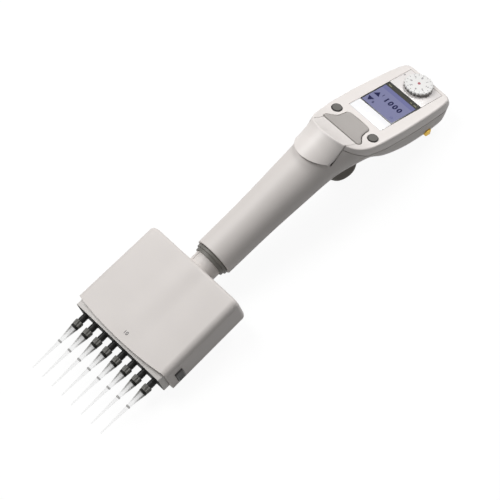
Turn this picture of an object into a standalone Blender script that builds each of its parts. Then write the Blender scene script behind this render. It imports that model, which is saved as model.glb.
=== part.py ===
"""Electronic eight-channel pipette, lying on its back on a bench with its display up.

Lengths are millimetres in the pipette's own frame: x runs along the channel row, y towards the back
of the handle and z up the axis from the tips' ends. One empty turns that frame onto the bench.
Heights in the head's tables are measured from where the handle ends and the head begins, and face
heights v run up the sloping display face from the display's centre.
"""
import math

import bmesh
import bpy
from mathutils import Vector

MM = 0.001

# Shared clearances and walls
GAP = 0.3
WALL = 1.8
FACE_WALL = 2.5
BITE = 0.5
CUT_PAST = 1.0
FAR = 400.0

# Channel row
CHANNELS = 8
PITCH = 9.0

# Tips, measured up from their ends
TIP_LENGTH = 40.0
TIP_END_RADIUS = 0.45
TIP_ORIFICE_RADIUS = 0.2
TIP_RING_HEIGHT = 22.7
TIP_RING_RADIUS = 1.2
TIP_SKIRT_HEIGHT = 31.5
TIP_SKIRT_RADIUS = 2.1
TIP_SKIN = 0.45
TIP_COLLAR_LENGTH = 5.4
TIP_COLLAR_RADIUS = 3.1
TIP_MOUTH_RADIUS = 2.35

# Nose cones and pistons
CONE_RADIUS = 2.2
CONE_SEAT_DEPTH = 4.6
CONE_LEAD = 0.25
CONE_BODY_RADIUS = 3.0
CONE_FLANGE_RADIUS = 3.7
CONE_FLANGE_HEIGHT = 2.0
CONE_STUB_RADIUS = 2.6
CONE_STUB_HEIGHT = 10.8
CONE_BORE_RADIUS = 0.95
CONE_TRAVEL = 1.2
PISTON_RADIUS = 0.6
PISTON_HEAD_RADIUS = 1.8
PISTON_HEAD_HEIGHT = 1.0
PISTON_STROKE = 10.0
PISTON_END_HEIGHT = 4.0

# Ejector comb under the housing
EJECT_STROKE = 9.0
COMB_LIFT = 5.2
COMB_HEIGHT = 7.4
COMB_SHOWN = 5.1
COMB_SETBACK = 2.6
COMB_FRONT = -8.7
COMB_BACK = 6.9
COMB_HOLE_CLEARANCE = 0.55
COMB_ARM_THICKNESS = 1.8
COMB_ARM_FRONT = -7.4
COMB_ARM_BACK = -4.6

# Plates inside the lower housing
CONE_PLATE_THICKNESS = 3.0
RETAINER_RISE = 6.8
RETAINER_THICKNESS = 2.5
CARRIER_CLEARANCE = 1.8
CARRIER_THICKNESS = 4.0
CARRIER_HALF_DEPTH = 4.5
YOKE_HEADROOM = 5.7
YOKE_THICKNESS = 3.0
YOKE_HALF_DEPTH = 7.4

# Lower housing
HOUSING_HEIGHT = 62.2
HOUSING_END_MARGIN = 8.5
HOUSING_TAPER = 1.0
HOUSING_FRONT = -12.3
HOUSING_BACK = 11.5
HOUSING_CORNER = 4.5
HOUSING_EDGE = 3.0
HOUSING_BOW = 3.3
HOUSING_BOW_POWER = 0.8
HOUSING_SEAM = 7.0
RIDGE_HEIGHT = 0.9
RIDGE_HALF_WIDTH = 17.0
RIDGE_POWER = 0.7
BENCH_SHAVE = 0.15

# Side latches
LATCH_RISE = 5.2
LATCH_HEIGHT = 5.6
LATCH_FRONT = -3.8
LATCH_BACK = 5.8
LATCH_PROUD = 0.9
LATCH_DEPTH = 4.2
LATCH_TRAVEL = 1.0

# Neck and coupling ring
NECK_RADIUS = 9.5
NECK_WALL = 1.7
NECK_SHOWN = 11.5
NECK_FLANGE_HALF_WIDTH = 14.0
NECK_FLANGE_HALF_DEPTH = 9.0
NECK_FLANGE_THICKNESS = 1.7
NECK_COLLAR_RADIUS = 10.8
NECK_COLLAR_THICKNESS = 2.0
RING_FIRST_STEP = 10.8
RING_SECOND_STEP = 11.9
RING_FIRST_DROP = 4.4
RING_SECOND_DROP = 2.2
RING_SEAT = 4.0

# Ejector sleeve and spring
SLEEVE_RADIUS = 6.9
SLEEVE_WALL = 1.0
SLEEVE_TOP_RISE = 25.5
SLEEVE_FLANGE_RADIUS = 11.0
SLEEVE_FLANGE_THICKNESS = 2.5
SPRING_RADIUS = 8.9
SPRING_WIRE = 0.55
SPRING_TURNS = 5
SPRING_STEPS = 14
SPRING_SIDES = 6

# Drive train in the handle
ROD_RADIUS = 3.2
ROD_BORE_RADIUS = 2.2
ROD_BORE_DEPTH = 19.0
NUT_RADIUS = 6.0
NUT_THICKNESS = 5.0
NUT_RISE = 30.0
SCREW_RADIUS = 1.8
SCREW_HUB_RADIUS = 2.4
SCREW_END_MARGIN = 3.0
BRACKET_CLEARANCE = 1.0
BRACKET_THICKNESS = 2.2
MOTOR_RADIUS = 8.5
MOTOR_LENGTH = 32.0
MOTOR_BOSS_RADIUS = 3.0
MOTOR_BOSS_HEIGHT = 2.0
EJECTOR_ROD_RADIUS = 0.9
EJECTOR_ROD_Y = -10.0
SHELF_SEARCH_STEP = 0.05

# Handle: share of its length above the mouth, then half width, front reach, middle, back reach,
# and how square the front and the back of the section are
HANDLE_LENGTH = 90.0
HANDLE_STATIONS = (
    (0.0, 13.2, -13.2, 0.0, 13.2, 2.0, 2.0),
    (0.4, 13.6, -13.6, 0.0, 13.6, 2.0, 2.0),
    (0.73, 14.8, -14.9, 0.0, 14.8, 2.0, 2.0),
    (0.9, 15.5, -15.6, 0.0, 15.5, 2.0, 2.0),
)

# Head: height above the handle's end, then the same measures
HEAD_STATIONS = (
    (0.0, 16.5, -15.9, 0.0, 15.6, 2.0, 2.1),
    (8.0, 18.2, -18.2, 0.0, 15.8, 2.0, 2.3),
    (14.0, 19.8, -19.8, 0.5, 16.0, 2.1, 2.5),
    (22.0, 21.4, -21.0, 4.0, 17.4, 2.3, 2.6),
    (29.0, 22.5, -16.0, 11.0, 24.4, 3.0, 2.8),
    (37.0, 23.0, -4.0, 16.0, 31.4, 3.5, 3.0),
    (49.0, 22.9, 2.0, 22.0, 40.1, 4.0, 3.2),
    (63.7, 22.3, 11.0, 30.0, 46.9, 4.0, 3.2),
    (70.0, 21.9, 14.5, 33.5, 48.9, 4.0, 3.2),
    (76.0, 21.4, 18.0, 36.5, 49.8, 4.0, 3.2),
    (79.5, 20.9, 20.5, 37.0, 47.6, 4.0, 3.0),
    (83.0, 20.2, 23.0, 36.5, 44.0, 4.0, 2.8),
    (86.0, 19.2, 25.5, 36.5, 41.6, 4.0, 2.6),
    (88.2, 17.3, 28.0, 36.3, 39.6, 4.0, 2.4),
)
BODY_CHAMFER = 1.3
HANDLE_SEAM = 3.0
HEAD_REST_HEIGHT = 72.0
HEAD_REST_Y = 48.65

# Display face: the origin is the display's centre, tilted back from the axis
FACE_HEIGHT = 57.9
FACE_Y = 17.3
FACE_TILT = math.radians(28.1)
SHELF_START = -34.0
SHELF_CURVE = 0.0138

# Seam between the head's front shell and the shells behind it: y and height up to where it
# turns parallel to the face, then its depth behind the face and the face heights it runs between
SEAM_POINTS = ((-30.0, -2.0), (-8.0, 12.0), (4.6, 20.0))
SEAM_DEPTH = 7.0
SEAM_START = -26.0
SEAM_END = 50.0

# Controls and display on the face
FACE_CUT = 12.0
PANEL_HALF_WIDTH = 13.9
PANEL_BOTTOM = -22.4
PANEL_TOP = 31.8
PANEL_THICKNESS = 0.8
WINDOW_HALF_HEIGHT = 13.0
MODULE_HALF_WIDTH = 12.2
MODULE_HALF_HEIGHT = 11.4
MODULE_BACK = -6.6
BOARD_THICKNESS = 1.6
BOARD_HALF_WIDTH = 17.0
BOARD_BOTTOM = -35.5
BOARD_TOP = 28.5
BATTERY_HALF_WIDTH = 12.5
BATTERY_THICKNESS = 10.2
BATTERY_BACK = -20.4
BATTERY_BOTTOM = -6.0
BATTERY_TOP = 19.0
DIAL_HEIGHT = 24.4
DIAL_RADIUS = 9.5
DIAL_NOTCH = 0.35
DIAL_TEETH = 24
DIAL_LIFT = 0.6
DIAL_THICKNESS = 2.6
DIAL_HUB_RADIUS = 2.6
DIAL_HUB_END = -3.0
ENCODER_RADIUS = 5.5
ENCODER_DROP = 1.0
KEY_X = 16.0
KEY_HEIGHT = -31.3
KEY_RADIUS = 3.35
KEY_PROUD = 0.7
KEY_DEPTH = 4.4
KEY_TRAVEL = 0.8
SWITCH_RADIUS = 1.8
ROCKER_OUTLINE = (
    (0.0, -27.0), (7.6, -27.3), (9.6, -28.6), (10.0, -32.4), (10.7, -35.6), (13.0, -38.4),
    (15.3, -40.6), (15.6, -42.4), (14.9, -44.0), (13.6, -44.4), (0.0, -44.4),
)
ROCKER_PROUD = 0.5
ROCKER_DEPTH = 3.2

# Ejector button: the thumb shelf and the shroud around the handle's front
BUTTON_HALF_WIDTH = 14.2
BUTTON_TOP = -44.7
BUTTON_SHELF_END = -63.9
BUTTON_SHELF_STEPS = 8
BUTTON_RIM_HEIGHT = -10.5
BUTTON_RIM_SLOPE = 1.05
BUTTON_RIM_Y = -17.4
BUTTON_BACK_Y = -4.2
BUTTON_OUTER = ((-14.0, 17.7), (0.0, 17.9), (6.0, 18.6), (9.0, 19.2), (11.5, 20.0), (24.0, 21.0))
BUTTON_WALL = 1.5
BUTTON_SHELF = 1.7
HANDLE_FRONT_HEIGHT = -2.0

# Finger rest on the back, battery cover and charging contacts
FINGER_OUTLINE = (
    (12.0, -6.5), (20.0, -3.4), (27.0, -0.1), (31.6, 4.4), (33.6, 9.0), (33.4, 13.2),
    (30.6, 16.3), (25.0, 19.3), (20.0, 22.6), (12.0, 22.6),
)
FINGER_MIDDLE = (14.0, 8.0)
FINGER_HALF_WIDTH = 10.5
FINGER_SHARES = ((0.45, 1.0), (0.8, 0.95), (0.94, 0.83), (1.0, 0.62))
COVER_HALF_WIDTH = 13.0
COVER_BOTTOM = -16.0
COVER_TOP = 21.5
COVER_FRONT = -15.5
CONTACT_HEIGHT = 14.8
CONTACT_DEPTH = -15.8
CONTACT_SIZE = 4.2
CONTACT_PROUD = 0.9
CONTACT_REACH = 5.0

# Facets round a full circle
FACETS = 32
KEY_FACETS = 24
SMALL_FACETS = 12
HOLE_FACETS = 10
TINY_FACETS = 8

# Places and sizes that follow from the ones above
COMB_BOTTOM = TIP_LENGTH + COMB_LIFT
COMB_TOP = COMB_BOTTOM + COMB_HEIGHT
HOUSING_BOTTOM = COMB_BOTTOM + COMB_SHOWN
HOUSING_TOP = HOUSING_BOTTOM + HOUSING_HEIGHT
HOUSING_MIDDLE = (HOUSING_TOP + HOUSING_BOTTOM) / 2
HOUSING_HALF_WIDTH_BOTTOM = (CHANNELS - 1) / 2 * PITCH + HOUSING_END_MARGIN
HOUSING_HALF_WIDTH_TOP = HOUSING_HALF_WIDTH_BOTTOM - HOUSING_TAPER
COMB_HALF_WIDTH = HOUSING_HALF_WIDTH_BOTTOM - COMB_SETBACK
LATCH_BOTTOM = HOUSING_BOTTOM + LATCH_RISE
CONE_PLATE_BOTTOM = COMB_TOP + GAP
CONE_PLATE_TOP = CONE_PLATE_BOTTOM + CONE_PLATE_THICKNESS
CONE_FLANGE_BOTTOM = CONE_PLATE_TOP + GAP
CONE_FLANGE_TOP = CONE_FLANGE_BOTTOM + CONE_FLANGE_HEIGHT
CONE_TOP = CONE_FLANGE_TOP + CONE_STUB_HEIGHT
RETAINER_BOTTOM = CONE_FLANGE_TOP + RETAINER_RISE
RETAINER_TOP = RETAINER_BOTTOM + RETAINER_THICKNESS
CARRIER_BOTTOM = CONE_TOP + CONE_TRAVEL + CARRIER_CLEARANCE
CARRIER_TOP = CARRIER_BOTTOM + CARRIER_THICKNESS
MOUTH = HOUSING_TOP + NECK_SHOWN
NECK_FLANGE_TOP = HOUSING_TOP - WALL - GAP
NECK_FLANGE_BOTTOM = NECK_FLANGE_TOP - NECK_FLANGE_THICKNESS
YOKE_TOP = NECK_FLANGE_BOTTOM - YOKE_HEADROOM
YOKE_BOTTOM = YOKE_TOP - YOKE_THICKNESS
RING_TOP = MOUTH + RING_SEAT
NECK_COLLAR_BOTTOM = RING_TOP + GAP
NECK_TOP = NECK_COLLAR_BOTTOM + NECK_COLLAR_THICKNESS
SLEEVE_TOP = MOUTH + SLEEVE_TOP_RISE
SLEEVE_FLANGE_BOTTOM = SLEEVE_TOP - SLEEVE_FLANGE_THICKNESS
NUT_BOTTOM = MOUTH + NUT_RISE
NUT_TOP = NUT_BOTTOM + NUT_THICKNESS
BRACKET_BOTTOM = NUT_TOP + PISTON_STROKE + BRACKET_CLEARANCE
BRACKET_TOP = BRACKET_BOTTOM + BRACKET_THICKNESS
MOTOR_BOTTOM = BRACKET_TOP + GAP
MOTOR_TOP = MOTOR_BOTTOM + MOTOR_LENGTH
HEAD_BASE = MOUTH + HANDLE_LENGTH
FACE_Z = HEAD_BASE + FACE_HEIGHT
HEAD_REST_Z = HEAD_BASE + HEAD_REST_HEIGHT
HANDLE_FRONT_TOP = HEAD_BASE + HANDLE_FRONT_HEIGHT
HANDLE_ROWS = tuple((MOUTH + row[0] * HANDLE_LENGTH, *row[1:]) for row in HANDLE_STATIONS)
BODY_STATIONS = HANDLE_ROWS + tuple((HEAD_BASE + row[0], *row[1:]) for row in HEAD_STATIONS)
HOUSING_INNER_HALF_WIDTH = HOUSING_HALF_WIDTH_TOP - WALL
COMB_ARM_OUTER = HOUSING_INNER_HALF_WIDTH - 2 * GAP
COMB_ARM_INNER = COMB_ARM_OUTER - COMB_ARM_THICKNESS
PLATE_HALF_WIDTH = COMB_ARM_INNER - GAP
PLATE_FRONT = HOUSING_FRONT + WALL + 2 * GAP
PLATE_BACK = HOUSING_BACK - WALL - GAP
CONE_X = tuple((index - (CHANNELS - 1) / 2) * PITCH for index in range(CHANNELS))

# The bench touches the housing's lower back edge and the flat on the head's back
BENCH_Y = HOUSING_BACK - BENCH_SHAVE
BENCH_SLOPE = (HEAD_REST_Y - BENCH_Y) / (HEAD_REST_Z - HOUSING_BOTTOM)
BENCH_ANGLE = math.atan(BENCH_SLOPE)


def bench_y(z):
    """Give the y of the bench's surface at a height on the pipette."""
    return BENCH_Y + (z - HOUSING_BOTTOM) * BENCH_SLOPE


def face_point(x, v, h):
    """Turn a place on the face (across, up, out) into the pipette's frame."""
    y = FACE_Y + v * math.sin(FACE_TILT) - h * math.cos(FACE_TILT)
    z = FACE_Z + v * math.cos(FACE_TILT) + h * math.sin(FACE_TILT)
    return Vector((x, y, z))


def shelf_lift(v):
    """Give how far the thumb shelf curves forward of the flat face at a face height."""
    return SHELF_CURVE * min(v - SHELF_START, 0.0) ** 2


def face_y(z):
    """Give the y of the flat face, or of the shelf below it, at a height."""
    start = FACE_Z + SHELF_START * math.cos(FACE_TILT)
    if z >= start:
        return FACE_Y + (z - FACE_Z) * math.tan(FACE_TILT)
    square = SHELF_CURVE * math.sin(FACE_TILT)
    linear = math.cos(FACE_TILT)
    root = math.sqrt(max(linear * linear - 4 * square * (start - z), 0.0))
    below = (root - linear) / (2 * square)
    return face_point(0, SHELF_START + below, SHELF_CURVE * below * below).y


def smooth_row(rows, at):
    """Read a row between the rows of a table, along a smooth curve through them."""
    at = min(max(at, rows[0][0]), rows[-1][0])
    index = 0
    while index < len(rows) - 2 and at > rows[index + 1][0]:
        index += 1
    low = rows[index]
    high = rows[index + 1]
    before = rows[max(index - 1, 0)]
    after = rows[min(index + 2, len(rows) - 1)]
    span = high[0] - low[0]
    t = (at - low[0]) / span
    result = []
    for column in range(1, len(low)):
        slope_low = (high[column] - before[column]) / (high[0] - before[0]) * span
        slope_high = (after[column] - low[column]) / (after[0] - low[0]) * span
        result.append(
            (2 * t**3 - 3 * t**2 + 1) * low[column]
            + (t**3 - 2 * t**2 + t) * slope_low
            + (3 * t**2 - 2 * t**3) * high[column]
            + (t**3 - t**2) * slope_high
        )
    return result


def body_ring(z, inset=0.0, face_inset=0.0, front_points=4, side_points=4, back_points=9):
    """Give one section of the handle and head as a closed ring of points at height z."""
    width, front, middle, back, front_power, back_power = smooth_row(BODY_STATIONS, z)
    width -= inset
    front += inset
    back -= inset
    face = face_y(z) + face_inset / math.cos(FACE_TILT)
    reach = middle - front
    share = (middle - face) / reach
    flat = share < 1.0 and z > HEAD_BASE
    chamfer = BODY_CHAMFER if flat and not inset else 0.01

    def front_at(angle):
        across = width * max(math.cos(angle), 0.0) ** (2 / front_power)
        return across, middle - reach * math.sin(angle) ** (2 / front_power)

    if flat:
        corner = math.asin(max(share, 0.03) ** (front_power / 2))
        lower = max(share - chamfer / reach, 0.02)
        start = math.asin(lower ** (front_power / 2))
        edge = max(front_at(corner)[0] - chamfer, 0.5)
        half = [(edge * step / front_points, face) for step in range(front_points + 1)]
    else:
        start = math.radians(60)
        turn = (math.pi / 2 - start) / (front_points + 1)
        angles = [math.pi / 2 - turn * step for step in range(front_points + 1)]
        half = [front_at(angle) for angle in angles]
        half[0] = (0.0, front)
    half += [front_at(start * (1 - step / side_points)) for step in range(side_points)]
    for step in range(back_points + 1):
        angle = math.pi / 2 * step / back_points
        across = width * max(math.cos(angle), 0.0) ** (2 / back_power)
        away = middle + (back - middle) * math.sin(angle) ** (2 / back_power)
        half.append((across, min(away, bench_y(z) - inset)))
    half[-1] = (0.0, half[-1][1])
    other = [(-across, away) for across, away in half[-2:0:-1]]
    return [Vector((across, away, z)) for across, away in half + other]


def housing_ring(z, inset=0.0):
    """Give one section of the lower housing, a rounded box with a soft ridge down its front."""
    share = (z - HOUSING_BOTTOM) / (HOUSING_TOP - HOUSING_BOTTOM)
    drop = max(z - (HOUSING_TOP - HOUSING_EDGE), 0.0)
    tuck = HOUSING_EDGE - math.sqrt(max(HOUSING_EDGE**2 - drop**2, 0.0))
    half_width = HOUSING_HALF_WIDTH_BOTTOM + (HOUSING_HALF_WIDTH_TOP - HOUSING_HALF_WIDTH_BOTTOM) * share
    half_width -= inset + tuck
    front = HOUSING_FRONT + inset + tuck
    back = HOUSING_BACK - inset - tuck
    if not inset:
        back = min(back, bench_y(max(z, HOUSING_BOTTOM)))
    corner = max(HOUSING_CORNER - inset, 1.0)
    ridge = RIDGE_HEIGHT * max(share, 0.0) ** RIDGE_POWER
    points = []
    for step in range(-5, 6):
        across = RIDGE_HALF_WIDTH * step / 5
        swell = math.cos(math.pi / 2 * step / 5) ** 2
        points.append((across, front - ridge * swell))
    corners = (
        (half_width - corner, front + corner, -90),
        (half_width - corner, back - corner, 0),
        (corner - half_width, back - corner, 90),
        (corner - half_width, front + corner, 180),
    )
    for across, away, first in corners:
        for step in range(5):
            angle = math.radians(first + 90 * step / 4)
            points.append((across + corner * math.cos(angle), away + corner * math.sin(angle)))
    return [Vector((across, away, z)) for across, away in points]


def plastic(name, colour, roughness=0.45, metallic=0.0):
    """Make a plain Principled material."""
    material = bpy.data.materials.new(name)
    material.use_nodes = True
    shader = material.node_tree.nodes["Principled BSDF"]
    shader.inputs["Base Color"].default_value = (*colour, 1.0)
    shader.inputs["Roughness"].default_value = roughness
    shader.inputs["Metallic"].default_value = metallic
    return material


class Kit:
    """Adds the pipette's pieces to the scene under one empty, which carries the bench pose."""

    def __init__(self):
        """Make the empty and the materials."""
        self.pose = bpy.data.objects.new("bench_pose", None)
        bpy.context.scene.collection.objects.link(self.pose)
        self.pieces = []
        self.shell = plastic("pale_housing", (0.72, 0.69, 0.67))
        self.panel = plastic("white_panel", (0.93, 0.93, 0.95))
        self.grey = plastic("grey_key", (0.45, 0.42, 0.41))
        self.dark = plastic("dark_grip", (0.10, 0.09, 0.08), 0.6)
        self.black = plastic("black_cone", (0.02, 0.02, 0.02))
        self.collar = plastic("tip_polypropylene", (0.80, 0.80, 0.78), 0.3)
        self.glass = plastic("display_glass", (0.25, 0.28, 0.55), 0.1)
        self.steel = plastic("steel", (0.60, 0.60, 0.62), 0.3, 1.0)
        self.gold = plastic("gold_contact", (0.75, 0.55, 0.20), 0.3, 1.0)
        self.board = plastic("circuit_board", (0.05, 0.25, 0.12))
        self.cell = plastic("battery_wrap", (0.15, 0.30, 0.55))

    def add(self, name, mesh_tool, material):
        """Turn a bmesh into a named piece under the pose."""
        bmesh.ops.remove_doubles(mesh_tool, verts=mesh_tool.verts, dist=0.0005 * MM)
        bmesh.ops.triangulate(mesh_tool, faces=mesh_tool.faces)
        bmesh.ops.recalc_face_normals(mesh_tool, faces=mesh_tool.faces)
        mesh = bpy.data.meshes.new(name)
        mesh_tool.to_mesh(mesh)
        mesh_tool.free()
        mesh.shade_smooth()
        mesh.set_sharp_from_angle(angle=math.radians(35))
        piece = bpy.data.objects.new(name, mesh)
        bpy.context.scene.collection.objects.link(piece)
        piece.parent = self.pose
        if material:
            mesh.materials.append(material)
            self.pieces.append(piece)
        return piece

    def tool(self, name, mesh_tool):
        """Add a cutter, which shows as wire and isn't part of the pipette."""
        cutter = self.add(name, mesh_tool, None)
        cutter.hide_render = True
        cutter.display_type = "WIRE"
        return cutter

    def settle(self):
        """Lay the pipette on the bench, centred, with its lowest faces at zero."""
        self.pose.rotation_euler = (BENCH_ANGLE - math.pi / 2, 0.0, 0.0)
        bpy.context.view_layer.update()
        graph = bpy.context.evaluated_depsgraph_get()
        corners = []
        for piece in self.pieces:
            solid = piece.evaluated_get(graph)
            corners += [solid.matrix_world @ vertex.co for vertex in solid.data.vertices]
        low = [min(corner[axis] for corner in corners) for axis in range(3)]
        high = [max(corner[axis] for corner in corners) for axis in range(3)]
        self.pose.location = (-(low[0] + high[0]) / 2, -(low[1] + high[1]) / 2, -low[2])


def combine(piece, cutter, operation="DIFFERENCE"):
    """Put an exact Boolean on a piece."""
    modifier = piece.modifiers.new(cutter.name, "BOOLEAN")
    modifier.object = cutter
    modifier.operation = operation
    modifier.solver = "EXACT"


def loft(rings):
    """Skin a stack of rings into a closed solid with flat ends."""
    mesh_tool = bmesh.new()
    levels = [[mesh_tool.verts.new(point * MM) for point in ring] for ring in rings]
    count = len(levels[0])
    for lower, upper in zip(levels, levels[1:]):
        for index in range(count):
            following = (index + 1) % count
            mesh_tool.faces.new((lower[index], lower[following], upper[following], upper[index]))
    mesh_tool.faces.new(levels[0][::-1])
    mesh_tool.faces.new(levels[-1])
    return mesh_tool


def turned(profile, x=0.0, y=0.0, facets=FACETS):
    """Spin a closed outline of (radius, z) points about an upright axis at x, y."""
    rings = []
    for radius, z in profile:
        ring = []
        for step in range(facets):
            angle = 2 * math.pi * (step + 0.5) / facets
            ring.append(Vector((x + radius * math.cos(angle), y + radius * math.sin(angle), z)))
        rings.append(ring)
    mesh_tool = bmesh.new()
    levels = [[mesh_tool.verts.new(point * MM) for point in ring] for ring in rings]
    solid = profile[0][0] < 1e-6 and profile[-1][0] < 1e-6
    pairs = list(zip(levels, levels[1:]))
    if not solid:
        pairs.append((levels[-1], levels[0]))
    for lower, upper in pairs:
        for step in range(facets):
            following = (step + 1) % facets
            mesh_tool.faces.new((lower[step], lower[following], upper[following], upper[step]))
    bmesh.ops.remove_doubles(mesh_tool, verts=mesh_tool.verts, dist=0.0005 * MM)
    bmesh.ops.dissolve_degenerate(mesh_tool, edges=mesh_tool.edges, dist=0.0005 * MM)
    return mesh_tool


def rod(radius, bottom, top, x=0.0, y=0.0, facets=FACETS):
    """Make a straight round bar."""
    return turned(((0.0, bottom), (radius, bottom), (radius, top), (0.0, top)), x, y, facets)


def block(low, high):
    """Make a box between two corners."""
    mesh_tool = bmesh.new()
    bmesh.ops.create_cube(mesh_tool, size=1.0)
    size = Vector(high) - Vector(low)
    middle = (Vector(high) + Vector(low)) / 2
    bmesh.ops.scale(mesh_tool, vec=size * MM, verts=mesh_tool.verts)
    bmesh.ops.translate(mesh_tool, vec=middle * MM, verts=mesh_tool.verts)
    return mesh_tool


def slab_across(outline, half_width):
    """Extrude an outline of (y, z) points along x, the same to both sides."""
    return loft([[Vector((side, y, z)) for y, z in outline] for side in (-half_width, half_width)])


def face_slab(outline, inner, outer):
    """Extrude an outline of (x, v) points out of the face between two depths."""
    return loft([[face_point(x, v, h) for x, v in outline] for h in (inner, outer)])


def face_box(half_width, bottom, top, inner, outer):
    """Make a box that stands square to the face."""
    outline = ((-half_width, bottom), (half_width, bottom), (half_width, top), (-half_width, top))
    return face_slab(outline, inner, outer)


def face_disc(radius, x, v, inner, outer, facets=KEY_FACETS):
    """Make a disc that stands square to the face."""
    turn = [2 * math.pi * step / facets for step in range(facets)]
    outline = [(x + radius * math.cos(angle), v + radius * math.sin(angle)) for angle in turn]
    return face_slab(outline, inner, outer)


def body_solid(inset=0.0, face_inset=0.0):
    """Make the solid inside the handle and head's surface, or inside their inner surface."""
    levels = [row[0] for row in BODY_STATIONS]
    if inset > 0:
        roof = levels[-1] - inset
        levels = [MOUTH - WALL] + [level for level in levels if level < roof - CUT_PAST] + [roof]
    return loft([body_ring(z, inset, face_inset) for z in levels])


def seam_outline(offset, behind):
    """Give the (y, z) outline of the room in front of the head's seam, or behind it."""
    line = [(y, HEAD_BASE + height) for y, height in SEAM_POINTS]
    for v in (SEAM_START, SEAM_END):
        place = face_point(0, v, -SEAM_DEPTH)
        line.append((place.y, place.z))
    shifted = [(y - offset * math.cos(FACE_TILT), z + offset * math.sin(FACE_TILT)) for y, z in line]
    start_z = shifted[0][1]
    if behind:
        return shifted + [(FAR, shifted[-1][1]), (FAR, 0.0), (-FAR, 0.0), (-FAR, start_z)]
    return shifted + [(-FAR, shifted[-1][1]), (-FAR, start_z)]


def shelf_line(start, depth):
    """Give (y, z) points along the thumb shelf from a face height down, some depth below it."""
    line = []
    for step in range(BUTTON_SHELF_STEPS + 1):
        v = start + (BUTTON_SHELF_END - start) * step / BUTTON_SHELF_STEPS
        place = face_point(0, v, shelf_lift(v) - depth)
        line.append((place.y, place.z))
    return line


def build_channels(kit):
    """Make the tips, the nose cones and the pistons, one of each for every channel."""
    seat = TIP_LENGTH - CONE_SEAT_DEPTH
    collar_bottom = TIP_LENGTH - TIP_COLLAR_LENGTH
    for number, x in enumerate(CONE_X, 1):
        tip = (
            (TIP_ORIFICE_RADIUS, 0.0), (TIP_END_RADIUS, 0.0), (TIP_RING_RADIUS, TIP_RING_HEIGHT),
            (TIP_SKIRT_RADIUS, TIP_SKIRT_HEIGHT), (TIP_COLLAR_RADIUS - TIP_SKIN, collar_bottom),
            (TIP_COLLAR_RADIUS, collar_bottom), (TIP_COLLAR_RADIUS, TIP_LENGTH),
            (TIP_MOUTH_RADIUS, TIP_LENGTH), (TIP_MOUTH_RADIUS, collar_bottom),
            (TIP_SKIRT_RADIUS - TIP_SKIN, TIP_SKIRT_HEIGHT), (TIP_RING_RADIUS - TIP_SKIN, TIP_RING_HEIGHT),
        )
        kit.add(f"tip_{number}", turned(tip, x, 0.0, SMALL_FACETS), kit.collar)
        seal = TIP_MOUTH_RADIUS - GAP
        cone = (
            (CONE_BORE_RADIUS, seat), (seal - CONE_LEAD, seat), (seal, seat + 4 * CONE_LEAD),
            (seal, TIP_LENGTH + GAP), (CONE_RADIUS, TIP_LENGTH + GAP + 2 * CONE_LEAD),
            (CONE_RADIUS, COMB_TOP), (CONE_BODY_RADIUS, COMB_TOP + GAP),
            (CONE_BODY_RADIUS, CONE_FLANGE_BOTTOM), (CONE_FLANGE_RADIUS, CONE_FLANGE_BOTTOM),
            (CONE_FLANGE_RADIUS, CONE_FLANGE_TOP), (CONE_STUB_RADIUS, CONE_FLANGE_TOP),
            (CONE_STUB_RADIUS, CONE_TOP), (CONE_BORE_RADIUS, CONE_TOP),
        )
        kit.add(f"nose_cone_{number}", turned(cone, x, 0.0, SMALL_FACETS), kit.black)
        head = CARRIER_BOTTOM - GAP
        piston = (
            (0.0, seat + PISTON_END_HEIGHT), (PISTON_RADIUS, seat + PISTON_END_HEIGHT),
            (PISTON_RADIUS, head - PISTON_HEAD_HEIGHT), (PISTON_HEAD_RADIUS, head - PISTON_HEAD_HEIGHT),
            (PISTON_HEAD_RADIUS, head), (0.0, head),
        )
        kit.add(f"piston_{number}", turned(piston, x, 0.0, TINY_FACETS), kit.steel)


def pierced_plate(kit, name, low, high, radius, material, centre_radius=0.0):
    """Make a plate with one hole for every channel, and one in its middle if asked."""
    plate = kit.add(name, block(low, high), material)
    bottom = low[2] - CUT_PAST
    top = high[2] + CUT_PAST
    for number, x in enumerate(CONE_X if radius else (), 1):
        combine(plate, kit.tool(f"{name}_hole_{number}", rod(radius, bottom, top, x, 0.0, HOLE_FACETS)))
    if centre_radius:
        combine(plate, kit.tool(f"{name}_centre", rod(centre_radius, bottom, top, 0.0, 0.0)))
    return plate


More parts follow.
